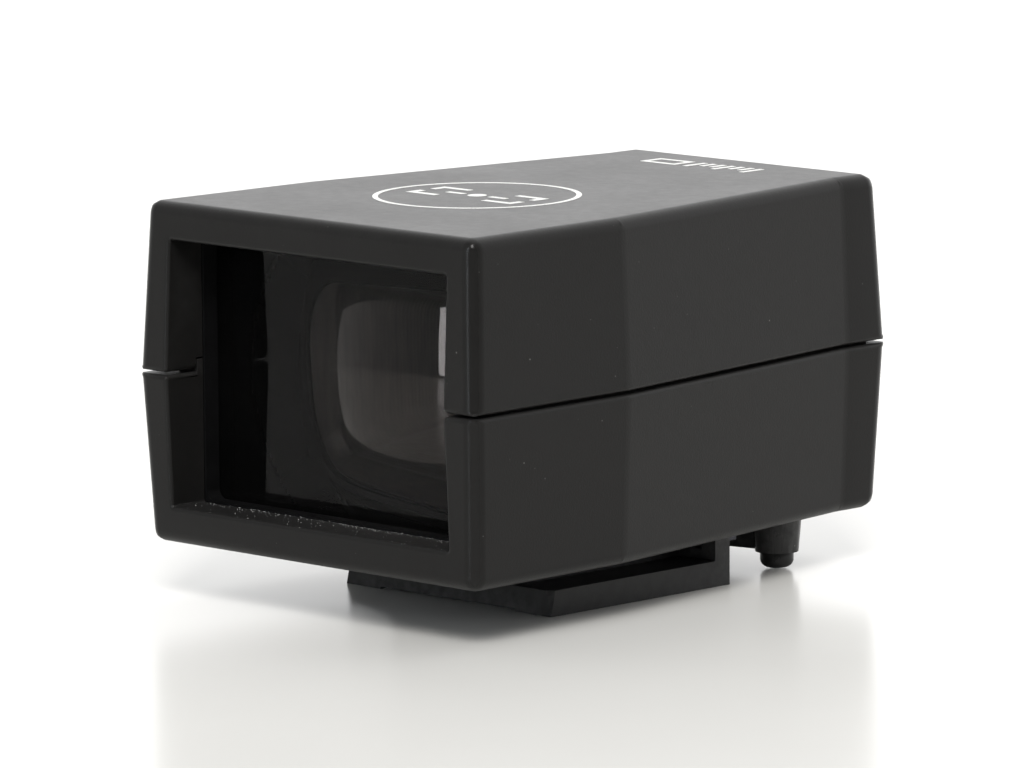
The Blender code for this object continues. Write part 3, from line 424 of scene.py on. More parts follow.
def coated_glass(name, tint, reflect, reflect_tint, haze=0.0, veil=0.0):
    """Optical glass with smears, specks and a thin veil of dust; its coating sets what it reflects."""
    material, tree, shader = new_material(name)
    place = in_millimetres(tree)
    smear = noise(tree, place, 0.35, 5.0, 0.65, 0.4)
    specks = speck_mask(tree, place, 0.75, 0.035, 0.12)
    smeared = remap(tree, smear, 0.3, 0.7, 0.0, 1.0)
    tone = blend_colours(tree, smeared, tint, tuple(channel * 0.97 for channel in tint))
    tree.links.new(tone, shader.inputs["Base Color"])
    hazy = remap(tree, smear, 0.45, 0.8, 0.0, haze)
    rough = combine(tree, "ADD", hazy, combine(tree, "MULTIPLY", specks, 0.35))
    tree.links.new(rough, shader.inputs["Roughness"])
    veiled = remap(tree, smear, 0.3, 0.7, veil * 0.8, veil * 1.2)
    dusty = combine(tree, "ADD", combine(tree, "MULTIPLY", specks, 0.6), veiled)
    tree.links.new(combine(tree, "SUBTRACT", 1.0, dusty), shader.inputs["Transmission Weight"])
    shader.inputs["IOR"].default_value = 1.52
    shader.inputs["Specular IOR Level"].default_value = reflect
    shader.inputs["Specular Tint"].default_value = (*reflect_tint, 1.0)
    return material


def printed_ink():
    """White pad print: slightly uneven cover with pinholes and worn edges."""
    material, tree, shader = new_material("white_print")
    place = in_millimetres(tree)
    cover = noise(tree, place, 5.0, 4.0, 0.7)
    covered = remap(tree, cover, 0.28, 0.44, 0.0, 1.0)
    tone = blend_colours(tree, covered, (0.3, 0.3, 0.3), (0.82, 0.82, 0.8))
    tree.links.new(tone, shader.inputs["Base Color"])
    tree.links.new(remap(tree, cover, 0.3, 0.7, 0.45, 0.6), shader.inputs["Roughness"])
    shader.inputs["Specular IOR Level"].default_value = 0.4
    bump(tree, shader, cover, 0.002 * MM)
    return material


def dust_material():
    """Pale household dust."""
    material, tree, shader = new_material("pale_dust")
    place = in_millimetres(tree)
    tone = blend_colours(tree, noise(tree, place, 6.0, 3.0), (0.25, 0.25, 0.245), (0.7, 0.7, 0.68))
    tree.links.new(tone, shader.inputs["Base Color"])
    shader.inputs["Roughness"].default_value = 0.95
    return material


def floor_material():
    """Pale satin acrylic with the faintest mottling."""
    material, tree, shader = new_material("pale_floor")
    where = add_node(tree, "ShaderNodeTexCoord")
    broad = add_node(tree, "ShaderNodeTexNoise", inputs={"Scale": 14.0, "Detail": 4.0})
    tree.links.new(where.outputs["Object"], broad.inputs["Vector"])
    tone = blend_colours(tree, broad.outputs["Fac"], (0.785, 0.78, 0.755), (0.81, 0.805, 0.78))
    tree.links.new(tone, shader.inputs["Base Color"])
    tree.links.new(remap(tree, broad.outputs["Fac"], 0.3, 0.7, 0.19, 0.25), shader.inputs["Roughness"])
    shader.inputs["Specular IOR Level"].default_value = 0.28
    return material


CASE = moulded_plastic(
    "case_black_plastic", dark=(0.0092, 0.0089, 0.0086), light=(0.0106, 0.0103, 0.01), roughness=0.4,
    grain_per_mm=7.0, grain_depth=0.009 * MM, specular=0.13, coat=0.08)
FOOT = moulded_plastic(
    "foot_black_plastic", dark=(0.018, 0.018, 0.019), light=(0.03, 0.03, 0.03), roughness=0.46,
    grain_per_mm=5.5, grain_depth=0.006 * MM, specular=0.22, dust=0.3, wear=0.8)
MATT = ribbed_matt(
    "matt_black_plastic", dark=(0.025, 0.0195, 0.018), light=(0.05, 0.039, 0.0355), roughness=0.5,
    ribs_per_mm=0.55, rib_depth=0.01 * MM)
FOIL = moulded_plastic(
    "mask_foil_black", dark=(0.0012, 0.0012, 0.0012), light=(0.002, 0.0019, 0.0019), roughness=0.9,
    grain_per_mm=10.0, grain_depth=0.002 * MM, specular=0.02, dust=0.01, wear=0.0)
RUBBER = soft_rubber("gasket_rubber", (0.0016, 0.0016, 0.0018), specular=0.12, sheen=0.0)
RIM_RUBBER = soft_rubber("eyepiece_rubber", (0.014, 0.014, 0.0145))
EDGE_PAINT = soft_rubber("lens_edge_paint", (0.001, 0.001, 0.001), specular=0.0, sheen=0.0)
FOAM = foam()
STEEL = turned_metal("screw_steel_bright", (0.55, 0.55, 0.56), roughness=0.32)
DARK_STEEL = turned_metal("dark_steel_oxide", (0.075, 0.075, 0.085), roughness=0.38)
GLASS_FRONT = coated_glass(
    "front_glass_coated", tint=(0.98, 0.97, 0.96), reflect=0.0, reflect_tint=(0.0, 0.0, 0.0), veil=0.002)
GLASS_MIRROR = coated_glass(
    "front_glass_semi_mirror", tint=(0.9, 0.86, 0.83), reflect=0.42,
    reflect_tint=(0.47, 0.42, 0.4), haze=0.02)
GLASS_EYE = coated_glass(
    "eyepiece_glass_coated", tint=(0.95, 0.96, 0.96), reflect=0.3, reflect_tint=(0.75, 0.8, 1.0))
INK = printed_ink()
DUST = dust_material()


# ------------------------------------------------------------ mesh building

def finish_mesh(name, bm, material=None):
    bmesh.ops.recalc_face_normals(bm, faces=bm.faces)
    mesh = bpy.data.meshes.new(name)
    bm.to_mesh(mesh)
    bm.free()
    if material is not None:
        mesh.materials.append(material)
    obj = bpy.data.objects.new(name, mesh)
    bpy.context.scene.collection.objects.link(obj)
    return obj


def loft(name, rings, closed=False, material=None):
    """Skin over rings with equal counts; closed joins the last ring to the first, else it caps the ends."""
    bm = bmesh.new()
    made = [[bm.verts.new(point) for point in ring] for ring in rings]
    count = len(rings[0])
    pairs = list(zip(made, made[1:]))
    if closed:
        pairs.append((made[-1], made[0]))
    for first, second in pairs:
        for index in range(count):
            following = (index + 1) % count
            bm.faces.new((first[index], first[following], second[following], second[index]))
    if not closed:
        bm.faces.new(made[0])
        bm.faces.new(list(reversed(made[-1])))
    return finish_mesh(name, bm, material)


def round_box_outline(half_width, half_height, corner, steps):
    """Rectangle with round corners, as points about its middle."""
    points = []
    for index, (sign_x, sign_y) in enumerate(((1, 1), (-1, 1), (-1, -1), (1, -1))):
        for step in range(steps + 1):
            angle = math.radians(90.0 * index + 90.0 * step / steps)
            points.append((
                sign_x * (half_width - corner) + corner * math.cos(angle),
                sign_y * (half_height - corner) + corner * math.sin(angle)))
    return points


def sight_ring(half_width, half_height, corner, y, steps, drop=0.0):
    """Round-cornered rectangle across the line of sight."""
    return [(x, y, SEAM_Z + z - drop) for x, z in round_box_outline(half_width, half_height, corner, steps)]


def circle(radius, centre, height, axis, segments):
    """Points of a circle about an axis through centre, at a height along that axis."""
    points = []
    for index in range(segments):
        angle = 2 * math.pi * index / segments
        across = radius * math.cos(angle)
        along = radius * math.sin(angle)
        if axis == "Z":
            points.append((centre[0] + across, centre[1] + along, centre[2] + height))
        else:
            points.append((centre[0] + across, centre[1] + height, centre[2] + along))
    return points


def turned(name, profile, centre, axis, segments=64, material=None):
    """Turned solid.  The profile runs from end to end, and an end on the axis gets a tiny cap."""
    tiny = 0.004 * MM
    rings = [circle(max(radius, tiny), centre, height, axis, segments) for radius, height in profile]
    ring_shaped = profile[0][0] > tiny and profile[-1][0] > tiny
    return loft(name, rings, ring_shaped, material)


def box(name, low, high, material=None):
    corners = ((low[0], low[1]), (high[0], low[1]), (high[0], high[1]), (low[0], high[1]))
    return loft(name, [[(x, y, z) for x, y in corners] for z in (low[2], high[2])], False, material)


def evaluated(obj):
    """Replace the object's mesh by its evaluated mesh and drop the modifiers."""
    bpy.context.view_layer.update()
    graph = bpy.context.evaluated_depsgraph_get()
    mesh = bpy.data.meshes.new_from_object(obj.evaluated_get(graph))
    old = obj.data
    obj.modifiers.clear()
    obj.data = mesh
    if old.users == 0:
        bpy.data.meshes.remove(old)
    return obj


def boolean(obj, tool, operation="DIFFERENCE"):
    """Cut the tool from the object, or join it, and remove the tool."""
    modifier = obj.modifiers.new("bool", "BOOLEAN")
    modifier.operation = operation
    modifier.object = tool
    modifier.solver = "EXACT"
    evaluated(obj)
    bpy.data.objects.remove(tool, do_unlink=True)
    return obj


def merge_flat(obj, degrees=0.5):
    """Weld doubled points and merge faces that lie in one plane."""
    bm = bmesh.new()
    bm.from_mesh(obj.data)
    bmesh.ops.remove_doubles(bm, verts=bm.verts, dist=0.002 * MM)
    bmesh.ops.dissolve_limit(
        bm, angle_limit=math.radians(degrees), verts=bm.verts, edges=bm.edges, delimit={"MATERIAL"})
    bm.to_mesh(obj.data)
    bm.free()


def weighted_bevel(obj, width_of, segments):
    """Round edges by a width that width_of(start, end, dihedral) gives for each edge."""
    bm = bmesh.new()
    bm.from_mesh(obj.data)
    layer = bm.edges.layers.float.new("bevel_weight_edge")
    for edge in bm.edges:
        if not edge.is_manifold:
            continue
        turn = edge.calc_face_angle_signed(0.0)
        edge[layer] = width_of(edge.verts[0].co, edge.verts[1].co, turn) / WIDEST_ROUND
    bm.to_mesh(obj.data)
    bm.free()
    modifier = obj.modifiers.new("round", "BEVEL")
    modifier.width = WIDEST_ROUND
    modifier.segments = segments
    modifier.limit_method = "WEIGHT"
    modifier.use_clamp_overlap = False
    modifier.miter_outer = "MITER_SHARP"
    evaluated(obj)


def angle_bevel(obj, width, segments=3, degrees=25.0):
    modifier = obj.modifiers.new("round", "BEVEL")
    modifier.width = width
    modifier.segments = segments
    modifier.limit_method = "ANGLE"
    modifier.angle_limit = math.radians(degrees)
    modifier.use_clamp_overlap = True
    evaluated(obj)


def shade(obj, degrees=38.0):
    """Smooth shading up to an angle, with normals that follow the large faces."""
    obj.data.shade_smooth()
    obj.data.set_sharp_from_angle(angle=math.radians(degrees))
    modifier = obj.modifiers.new("even_normals", "WEIGHTED_NORMAL")
    modifier.keep_sharp = True
    modifier.weight = 60
    return obj


def place(obj, body, slot=None, replaced=()):
    """Fix a piece to its body and hide the CAD nodes that it stands for; the slot argument is not used."""
    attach(obj, body)
    if replaced:
        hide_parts(*replaced)
    return obj


def set_material(obj, material):
    obj.data.materials.clear()
    obj.data.materials.append(material)


# -------------------------------------------------------------------- casing

def plan(inset, height, front_y, rear_y, leaning_ends=True):
    """Outline of the casing at a height from the seam, drawn in by the draft and by an inset."""
    drawn_in = DRAFT * abs(height) + inset
    lean = DRAFT * abs(height) if leaning_ends else 0.0
    half = (
        (FRONT_HALF_WIDTH - drawn_in, front_y + lean),
        (FIRST_CREASE_HALF_WIDTH - drawn_in, FIRST_CREASE_Y),
        (REAR_HALF_WIDTH - drawn_in, SECOND_CREASE_Y),
        (REAR_HALF_WIDTH - drawn_in, rear_y - lean),
    )
    mirrored = [(-x, y) for x, y in reversed(half)]
    return [(x, y, SEAM_Z + height) for x, y in list(half) + mirrored]


def block(name, inset, near, far, front_y, rear_y, leaning_ends=True):
    """Solid with the casing's outline, between two heights from the seam."""
    return loft(name, [plan(inset, h, front_y, rear_y, leaning_ends) for h in (near, far)])


def window_prism(name):
    """Straight window opening, ending blind inside the cavity."""
    return window_tool(name, FRONT_Y - CLEAR, FRONT_Y + FRONT_WALL + WINDOW_OVERRUN)


def window_tool(name, front_y, rear_y):
    ends = (front_y, rear_y)
    return loft(name, [sight_ring(WINDOW_HALF_WIDTH, WINDOW_HALF_HEIGHT, WINDOW_CORNER, y, 6) for y in ends])


def shell_edge_width(side, top):
    """Which round each edge of a casing half gets."""
    rim = SEAM_Z + side * SEAM_GAP / 2

    def width(start, end, turn):
        if abs(turn) < math.radians(1.0):
            return 0.0
        middle = (start + end) / 2
        on_rim = abs(start.z - rim) < 1e-6 and abs(end.z - rim) < 1e-6
        on_top = abs(start.z - top) < 1e-6 and abs(end.z - top) < 1e-6
        face_y = FRONT_Y + DRAFT * abs(middle.z - SEAM_Z)
        on_front = abs(middle.y - face_y) < TOUCH
        beside_window = abs(middle.x) < WINDOW_HALF_WIDTH + TOUCH
        in_window = beside_window and middle.y < FRONT_Y + FRONT_WALL + 0.6 * MM
        if on_rim:
            if in_window and middle.y > FRONT_Y + FRONT_WALL + 0.45 * MM:
                return 0.0
            return SEAM_ROUND
        at_rear = start.y > REAR_Y - END_ZONE and end.y > REAR_Y - END_ZONE
        if on_top:
            return REAR_ROUND if at_rear else LONG_EDGE_ROUND
        if in_window:
            near_mouth = on_front and abs(start.y - end.y) < 0.5 * MM
            return MOUTH_ROUND if near_mouth else 0.0
        if at_rear:
            return REAR_ROUND
        if middle.y < FRONT_Y + END_ZONE:
            return UPRIGHT_ROUND
        return CREASE_ROUND

    return width


def make_shell(name, side, node):
    """One half of the casing: rounded block, then cavity, lip or rebate, eye bore and screw sinks."""
    reach = (BODY_TOP - PRINT_ROOM - SEAM_Z) if side > 0 else (SEAM_Z - BODY_BOTTOM)
    cavity_front = FRONT_Y + FRONT_WALL
    cavity_rear = REAR_Y - REAR_WALL
    shell = block(name, 0.0, side * SEAM_GAP / 2, side * reach, FRONT_Y, REAR_Y)
    boolean(shell, window_prism("cut_window"))
    merge_flat(shell)
    weighted_bevel(shell, shell_edge_width(side, SEAM_Z + side * reach), 5)
    boolean(shell, block(
        "cut_cavity", WALL, -side * CLEAR, side * (reach - WALL), cavity_front, cavity_rear, False))
    if side < 0:
        boolean(shell, make_lip(cavity_front, cavity_rear), "UNION")
    else:
        boolean(shell, block(
            "rebate", LIP_INSET - LIP_CLEARANCE, -1 * MM, LIP_HEIGHT + LIP_CLEARANCE,
            cavity_front - LIP_THICKNESS - LIP_CLEARANCE, cavity_rear + LIP_THICKNESS + LIP_CLEARANCE, False))
    boolean(shell, bore_tool(EYE_BORE_RADIUS, REAR_Y - 3 * MM, REAR_Y + CLEAR))
    boolean(shell, bore_tool(EYE_RECESS_RADIUS, REAR_Y - EYE_RECESS_DEPTH, REAR_Y + CLEAR))
    if side < 0:
        for screw_name, x, y in CASE_SCREWS:
            boolean(shell, loft("sink_" + screw_name, [
                circle(SINK_RADIUS, (x, y, 0.0), z, "Z", 40)
                for z in (BODY_BOTTOM - 1 * MM, BODY_BOTTOM + SINK_DEPTH)]))
    set_material(shell, CASE)
    shade(shell)
    return place(shell, BODY, "case_black", [node])


def make_lip(cavity_front, cavity_rear):
    """Locating lip of the lower half, left open across the window."""
    lip = block(
        "lip", LIP_INSET, -LIP_DEPTH, LIP_HEIGHT,
        cavity_front - LIP_THICKNESS, cavity_rear + LIP_THICKNESS, False)
    boolean(lip, block(
        "lip_cut", LIP_INSET + LIP_THICKNESS, -LIP_DEPTH - 1 * MM, LIP_HEIGHT + 1 * MM,
        cavity_front, cavity_rear, False))
    return boolean(lip, window_tool("lip_window", FRONT_Y, FRONT_Y + FRONT_WALL + 0.3 * MM))


def bore_tool(radius, low, high):
    return loft("bore", [circle(radius, (0.0, y, SEAM_Z), 0.0, "Y", 96) for y in (low, high)])


make_shell("casing_upper", 1, "upper_shell")
make_shell("casing_lower", -1, "lower_shell")


# -------------------------------------------------------- window and optics

def plate(name, node, slot, material, size, opening, corner, y, thickness, steps=12, drop=0.0):
    """Flat frame across the line of sight; its rounded opening may sit below the middle."""
    rings = [
        sight_ring(*size, PLATE_CORNER, y, steps),
        sight_ring(*size, PLATE_CORNER, y + thickness, steps),
        sight_ring(*opening, corner, y + thickness, steps, drop),
        sight_ring(*opening, corner, y, steps, drop),
    ]
    obj = loft(name, rings, True, material)
    shade(obj)
    return place(obj, BODY, slot, [node])


plate("window_seal", "window_gasket", "black_rubber", RUBBER,
      SEAL_SIZE, SEAL_OPENING, SEAL_CORNER, SEAL_Y, SEAL_THICKNESS)
plate("lens_retaining_frame", "lens_retainer", "matt_black", FOIL,
      RETAINER_SIZE, RETAINER_OPENING, RETAINER_CORNER, RETAINER_Y, RETAINER_THICKNESS)
plate("round_cornered_mask", "field_mask", "mask_foil", FOIL,
      MASK_SIZE, MASK_OPENING, MASK_CORNER, MASK_Y, MASK_THICKNESS, 16, MASK_DROP)


def make_front_glass():
    """Flat front, dished semi-mirrored back and painted rim, as one closed block."""
    columns, rows = 84, 60
    bm = bmesh.new()
    rim = math.sqrt(DISH_RADIUS ** 2 - (DISH_RADIUS - DISH_DEPTH) ** 2)
    snap = 0.6 * LENS_HALF_WIDTH / columns
    centre_y = LENS_Y + LENS_THICKNESS - DISH_DEPTH + DISH_RADIUS
    flat_back = LENS_Y + LENS_THICKNESS
    front, back = [], []
    for row in range(rows + 1):
        z = -LENS_HALF_HEIGHT + 2 * LENS_HALF_HEIGHT * row / rows
        front_row, back_row = [], []
        for column in range(columns + 1):
            x = -LENS_HALF_WIDTH + 2 * LENS_HALF_WIDTH * column / columns
            front_row.append(bm.verts.new((x, LENS_Y, SEAM_Z + z)))
            reach = math.hypot(x, z)
            inside = 0 < column < columns and 0 < row < rows
            pull = rim / reach if inside and abs(reach - rim) < snap else 1.0
            rear_x, rear_z = x * pull, z * pull
            dish_y = centre_y - math.sqrt(max(DISH_RADIUS ** 2 - rear_x ** 2 - rear_z ** 2, 0.0))
            back_row.append(bm.verts.new((rear_x, min(dish_y, flat_back), SEAM_Z + rear_z)))
        front.append(front_row)
        back.append(back_row)
    for row in range(rows):
        for column in range(columns):
            for grid, mirror in ((front, False), (back, True)):
                face = bm.faces.new((
                    grid[row][column], grid[row][column + 1],
                    grid[row + 1][column + 1], grid[row + 1][column]))
                on_land = mirror and face.calc_center_median().y > flat_back - PAINTED_BAND
                face.material_index = 2 if on_land else int(mirror)
    edges = [front[0], [r[-1] for r in front], front[-1][::-1], [r[0] for r in front][::-1]]
    rears = [back[0], [r[-1] for r in back], back[-1][::-1], [r[0] for r in back][::-1]]
    for near_line, far_line in zip(edges, rears):
        for index in range(len(near_line) - 1):
            edge_face = bm.faces.new((
                near_line[index], near_line[index + 1], far_line[index + 1], far_line[index]))
            edge_face.material_index = 2
    obj = finish_mesh("front_glass", bm, GLASS_FRONT)
    obj.data.materials.append(GLASS_MIRROR)
    obj.data.materials.append(EDGE_PAINT)
    obj.data.shade_smooth()
    obj.data.set_sharp_from_angle(angle=math.radians(12.0))
    return place(obj, BODY, "front_glass", ["front_lens"])


make_front_glass()


def make_tunnel():
    """Tapered duct from the mask to the eye end, with a wider funnel at its mouth."""
    outer, inner = [], []
    for (y0, w0, h0), (y1, w1, h1) in zip(TUNNEL_SECTIONS, TUNNEL_SECTIONS[1:]):
        for index in range(TUNNEL_STATIONS + 1):
            share = index / TUNNEL_STATIONS
            if share == 0.0 and outer:
                continue
            y = y0 + (y1 - y0) * share
            half_w = w0 + (w1 - w0) * share
            half_h = h0 + (h1 - h0) * share
            outer.append(sight_ring(half_w, half_h, TUNNEL_CORNER, y, 12))
            inner.append(sight_ring(
                half_w - TUNNEL_WALL, half_h - TUNNEL_WALL, TUNNEL_CORNER - TUNNEL_WALL, y, 12))
    obj = loft("light_baffle_tunnel", outer + inner[::-1], True, MATT)
    shade(obj)
    return place(obj, BODY, "matt_black", ["light_tunnel"])


make_tunnel()

ring = turned("eyepiece_ring", EYE_RING_PROFILE, (0.0, REAR_Y, SEAM_Z), "Y", 112, RIM_RUBBER)
shade(ring)
place(ring, BODY, "black_rubber", ["eyepiece_rim"])


def make_eyepiece_glass():
    """Lens with a flat front and a domed back towards the eye."""
    low_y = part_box("eyepiece_lens")[0].y
    ball = (EYE_LENS_RADIUS ** 2 + EYE_LENS_CROWN ** 2) / (2 * EYE_LENS_CROWN)
    profile = []
    for step in range(15):
        radius = EYE_LENS_RADIUS * step / 14
        profile.append((radius, EYE_LENS_EDGE + EYE_LENS_CROWN - (ball - math.sqrt(ball ** 2 - radius ** 2))))
    profile += [(EYE_LENS_RADIUS, 0.0), (0.0, 0.0)]
    glass = turned("eyepiece_glass", profile, (0.0, low_y, SEAM_Z), "Y", 96, GLASS_EYE)
    shade(glass)
    return place(glass, BODY, "eyepiece_glass", ["eyepiece_lens"])


make_eyepiece_glass()


# ------------------------------------------------------------ foot and lock

def refined(node, name, body, slot, material, width, segments):
    """Same solid as a CAD node, with its edges rounded and its flats merged."""
    obj = bpy.data.objects.new(name, NODES[node].data.copy())
    bpy.context.scene.collection.objects.link(obj)
    merge_flat(obj, 1.0)
    angle_bevel(obj, width, segments)
    set_material(obj, material)
    shade(obj, 40.0)
    return place(obj, body, slot, [node])


refined("shoe_foot", "shoe_foot_moulding", BODY, "foot_black", FOOT, 0.11 * MM, 3)
refined("lock_yoke", "lock_yoke_bar", "yoke", "dark_steel", DARK_STEEL, 0.06 * MM, 2)


def make_lever():
    """Eccentric hub, arm and tapered boss in one moulding, bored for the pivot and the pin."""
    hub_x = HUB_OFFSET * math.cos(HUB_OFFSET_ANGLE)
    hub_y = PIVOT_Y + HUB_OFFSET * math.sin(HUB_OFFSET_ANGLE)
    lever = loft("lock_lever_arm", [
        circle(HUB_RADIUS, (hub_x, hub_y, 0.0), z, "Z", 72) for z in (LEVER_BOTTOM + 0.2 * MM, LEVER_TOP)])
    along = Vector((KNOB_X, KNOB_Y - PIVOT_Y)).normalized()
    across = Vector((-along.y, along.x)) * ARM_HALF_WIDTH
    start = Vector((0.0, PIVOT_Y)) + along * ARM_START
    end = Vector((KNOB_X, KNOB_Y))
    corners = (start + across, start - across, end - across, end + across)
    boolean(lever, loft("arm", [
        [(c.x, c.y, z) for c in corners] for z in (LEVER_BOTTOM + 0.1 * MM, LEVER_TOP - 0.05 * MM)]), "UNION")
    boolean(lever, loft("boss", [
        circle(radius, (KNOB_X, KNOB_Y, 0.0), z, "Z", 64) for radius, z in BOSS_SECTIONS]), "UNION")
    for radius, x, y, top in (
            (PIVOT_BORE_RADIUS, 0.0, PIVOT_Y, BODY_BOTTOM),
            (PIVOT_RECESS_RADIUS, 0.0, PIVOT_Y, LEVER_BOTTOM + PIVOT_RECESS_DEPTH),
            (PIN_BORE_RADIUS, KNOB_X, KNOB_Y, LEVER_TOP - PIN_BORE_ROOF)):
        boolean(lever, loft("hole", [circle(radius, (x, y, 0.0), z, "Z", 56) for z in (-1 * MM, top)]))
    merge_flat(lever, 0.3)
    angle_bevel(lever, 0.13 * MM, 3, 35.0)
    set_material(lever, FOOT)
    shade(lever)
    return place(lever, "lever", "foot_black", ["lock_lever"])


make_lever()


def make_knob_pin():
    """Pin with a round-edged head under the lever's end."""
    profile = [
        (0.0, PIN_STEM_TOP), (PIN_ROUND, PIN_STEM_TOP), (PIN_ROUND, PIN_HEAD_TOP),
        (1.06 * MM, PIN_HEAD_TOP), (1.1 * MM, 1.03 * MM)]
    for step in range(9):
        angle = math.radians(90.0 * step / 8)
        profile.append((
            PIN_ROUND + PIN_ROUND * math.cos(angle), PIN_BOTTOM + PIN_ROUND - PIN_ROUND * math.sin(angle)))
    profile.append((0.0, PIN_BOTTOM))
    knob = turned("lever_knob_pin", profile, (KNOB_X, KNOB_Y, 0.0), "Z", 56, FOOT)
    shade(knob)
    return place(knob, "lever", "foot_black", ["lever_knob"])


make_knob_pin()


def make_screw(name, node, size, centre):
    """Pan-headed screw, head down, with a cross recess."""
    head_radius, head_height, shank_radius, length = size
    x, y, z = centre
    edge = head_radius * 0.14
    profile = [
        (0.0, length), (shank_radius - 0.12 * MM, length), (shank_radius, length - 0.2 * MM),
        (shank_radius, head_height), (head_radius - 0.03 * MM, head_height),
        (head_radius, head_height - 0.03 * MM), (head_radius, edge), (head_radius - edge * 0.3, edge * 0.3),
        (head_radius - edge, 0.02 * MM), (head_radius * 0.5, 0.0), (0.0, 0.0)]
    screw = turned(name, profile, centre, "Z", 48)
    width = head_radius * 0.15
    reach = head_radius * 0.62
    roof = z + head_height * 0.55
    for half_x, half_y in ((reach, width), (width, reach)):
        boolean(screw, box("slot", (x - half_x, y - half_y, z - 1 * MM), (x + half_x, y + half_y, roof)))
    merge_flat(screw, 0.3)
    set_material(screw, DARK_STEEL)
    shade(screw, 32.0)
    return place(screw, BODY, "screw_steel", [node])


for label, x, y in CASE_SCREWS:
    make_screw("casing_screw_" + label, "case_screw_" + label, CASE_SCREW_SIZE,
               (x, y, BODY_BOTTOM + CASE_SCREW_REST))
for label, y in FOOT_SCREWS:
    make_screw("shoe_screw_" + label, "foot_screw_" + label, FOOT_SCREW_SIZE, (0.0, y, FOOT_SCREW_REST))

for node, material in (
        ("lens_pad_left", FOAM), ("lens_pad_right", FOAM), ("frame_line_mask", FOIL), ("eyepiece_seat", MATT),
        ("eyepiece_spacer", RUBBER), ("lever_pivot_screw", STEEL), ("lever_washer", STEEL)):
    set_material(NODES[node], material)


# -------------------------------------------------------------------- prints

PRINT_LOW = BODY_TOP - PRINT_ROOM - 0.004 * MM
PRINT_HIGH = BODY_TOP - 0.012 * MM


def print_shape(bm, outline):
    """Upright prism of ink over an outline."""
    low = [bm.verts.new((x, y, PRINT_LOW)) for x, y in outline]
    high = [bm.verts.new((x, y, PRINT_HIGH)) for x, y in outline]
    bm.faces.new(low)
    bm.faces.new(high)
    for index in range(len(outline)):
        following = (index + 1) % len(outline)
        bm.faces.new((low[index], low[following], high[following], high[index]))


def bar(bm, x0, y0, x1, y1):
    print_shape(bm, ((x0, y0), (x1, y0), (x1, y1), (x0, y1)))


def bracket(bm, x, y, sign_x, sign_y, arm_x, arm_y, width):
    """L-shaped corner mark with its corner at x, y and its arms pointing inwards."""
    tip_x, tip_y = x - sign_x * arm_x, y - sign_y * arm_y
    inner_x, inner_y = x - sign_x * width, y - sign_y * width
    print_shape(bm, (
        (x, y), (tip_x, y), (tip_x, inner_y), (inner_x, inner_y), (inner_x, tip_y), (x, tip_y)))


def make_ring_print():
    outer, inner = EMBLEM_RING
    rings = [circle(r, (*EMBLEM_CENTRE, 0.0), z, "Z", 128) for r, z in (
        (outer, PRINT_LOW), (outer, PRINT_HIGH), (inner, PRINT_HIGH), (inner, PRINT_LOW))]
    ring = loft("print_ring", rings, True, INK)
    return place(ring, BODY)


def make_frame_print():
    """Bright-frame pictogram: four corner marks and a centre cross."""
    bm = bmesh.new()
    x, y = EMBLEM_CENTRE
    for sign_x in (-1, 1):
        for sign_y in (-1, 1):
            corner_x, corner_y = x + sign_x * FRAME_HALF[0], y + sign_y * FRAME_HALF[1]
            bracket(bm, corner_x, corner_y, sign_x, sign_y, *FRAME_ARMS, FRAME_PEN)
        stroke_x = x + sign_x * CROSS_REACH
        bar(bm, stroke_x - CROSS_HALF[0], y - CROSS_HALF[1], stroke_x + CROSS_HALF[0], y + CROSS_HALF[1])
    print_shape(bm, [(px, py) for px, py, _ in circle(DOT_RADIUS, (x, y, 0.0), 0.0, "Z", 24)])
    return place(finish_mesh("print_frame_corners", bm, INK), BODY)


def make_rear_print():
    """Field-width pictogram near the eye end: a small frame with a row of graduation bars."""
    bm = bmesh.new()
    low, high = SCALE_FRAME_Y
    left, right = SCALE_FRAME_X
    pen = SCALE_PEN
    bar(bm, left, low, right, low + pen)
    bar(bm, left, high - pen, right, high)
    bar(bm, left, low + pen + 0.01 * MM, left + pen, high - pen - 0.01 * MM)
    bar(bm, right - pen, low + pen + 0.01 * MM, right, high - pen - 0.01 * MM)
    x = SCALE_START
    for height in SCALE_HEIGHTS:
        bar(bm, x, high - height * MM, x + pen, high)
        x += SCALE_STEP
    return place(finish_mesh("print_graduations", bm, INK), BODY)


make_ring_print()
make_frame_print()
make_rear_print()


# ---------------------------------------------------------------------- dust

def grain(bm, centre, size, spin):
    """Irregular eight-sided crumb."""
    points = []
    for axis in (Vector((1, 0, 0)), Vector((0, 1, 0)), Vector((0, 0, 1))):
        for sign in (-1, 1):
            reach = size * (0.5 + spin.random())
            points.append(bm.verts.new(Vector(centre) + axis * sign * reach))
    x0, x1, y0, y1, z0, z1 = points
    for a, b in ((x0, y0), (y0, x1), (x1, y1), (y1, x0)):
        bm.faces.new((a, b, z1))
        bm.faces.new((b, a, z0))


def make_sill_dust():
    """Dust that has gathered where the glass meets the sill of the window."""
    spin = random.Random(11)
    bm = bmesh.new()
    sill = SEAM_Z - WINDOW_HALF_HEIGHT
    for _ in range(SETTLED_GRAINS):
        x = spin.uniform(-DUST_HALF_SPAN, DUST_HALF_SPAN) * MM
        back = abs(spin.gauss(0.0, 0.4)) * MM
        y = -17.8 * MM - min(back, 2.4 * MM)
        size = spin.uniform(0.01, 0.04) * MM
        grain(bm, (x, y, sill + size * 0.6), size, spin)
    for _ in range(LOOSE_GRAINS):
        x = spin.uniform(-DUST_HALF_SPAN, DUST_HALF_SPAN) * MM
        y = spin.uniform(-20.6, -18.0) * MM
        size = spin.uniform(0.01, 0.03) * MM
        grain(bm, (x, y, sill + size * 0.6), size, spin)
    return place(finish_mesh("sill_dust", bm, DUST), BODY)


make_sill_dust()


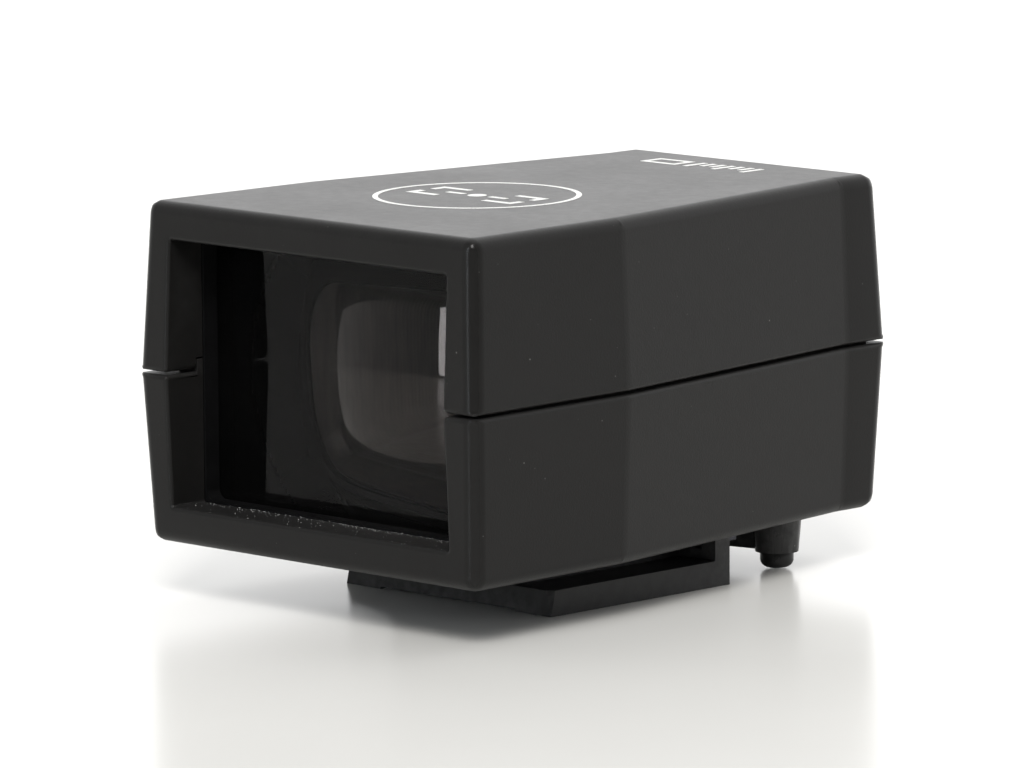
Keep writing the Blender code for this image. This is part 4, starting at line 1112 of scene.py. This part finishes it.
# ---------------------------------------------------- floor, light and camera

def make_floor():
    reach = FLOOR_REACH
    floor = box("floor", (-reach, -reach, -FLOOR_DEPTH), (reach, reach, 0.0))
    set_material(floor, floor_material())


make_floor()


def soft_light(name, position, target, width, height, power, colour=(1.0, 1.0, 1.0)):
    light = bpy.data.lights.new(name, "AREA")
    light.shape = "RECTANGLE"
    light.size = width
    light.size_y = height
    light.energy = power
    light.color = colour
    obj = bpy.data.objects.new(name, light)
    bpy.context.scene.collection.objects.link(obj)
    direction = Vector(target) - Vector(position)
    obj.location = position
    obj.rotation_euler = direction.to_track_quat("-Z", "Y").to_euler()
    return obj


soft_light("front_key", (0.49, -0.53, 0.7), (0.0, 0.0, 0.015), 0.4, 0.4, 8.8, (1.0, 0.985, 0.965))
soft_light("overhead_box", (0.0, 0.25, 0.85), (0.0, 0.0, 0.0), 1.0, 0.9, 1.5)
soft_light("tall_window", (0.078, -0.65, 0.2), (0.0, -0.02, 0.015), 0.06, 0.38, 1.0, (0.88, 0.94, 1.0))


bpy.context.scene.view_settings.view_transform = "Standard"
bpy.context.scene.view_settings.look = "None"
bpy.context.scene.cycles.caustics_refractive = False


def make_world():
    """Pale surroundings: brightest behind, dimmer on the left, faint elsewhere."""
    world = bpy.data.worlds.new("studio")
    bpy.context.scene.world = world
    world.use_nodes = True
    tree = world.node_tree
    where = add_node(tree, "ShaderNodeTexCoord")
    split = add_node(tree, "ShaderNodeSeparateXYZ")
    tree.links.new(where.outputs["Generated"], split.inputs[0])
    behind = remap(tree, split.outputs["Y"], 0.0, 1.0, WORLD_BASE, WORLD_BEHIND)
    left = remap(tree, split.outputs["X"], 0.0, -1.0, 0.0, WORLD_LEFT)
    tree.links.new(combine(tree, "ADD", behind, left), tree.nodes["Background"].inputs["Color"])


make_world()


def make_camera():
    azimuth, elevation, roll = CAMERA_AZIMUTH, CAMERA_ELEVATION, CAMERA_ROLL
    level = math.cos(elevation)
    forward = Vector((-math.sin(azimuth) * level, math.cos(azimuth) * level, -math.sin(elevation)))
    right = Vector((math.cos(azimuth), math.sin(azimuth), 0.0))
    up = right.cross(forward)
    rolled_right = right * math.cos(roll) + up * math.sin(roll)
    rolled_up = up * math.cos(roll) - right * math.sin(roll)
    camera_data = bpy.data.cameras.new("view")
    camera_data.sensor_width = CAMERA_SENSOR
    camera_data.lens = CAMERA_LENS
    camera_data.clip_start = 0.01
    camera_data.clip_end = 20.0
    camera = bpy.data.objects.new("view", camera_data)
    bpy.context.scene.collection.objects.link(camera)
    turn = Matrix((rolled_right, rolled_up, -forward)).transposed().to_4x4()
    camera.matrix_world = Matrix.Translation(CAMERA_PLACE) @ turn
    bpy.context.scene.camera = camera


make_camera()
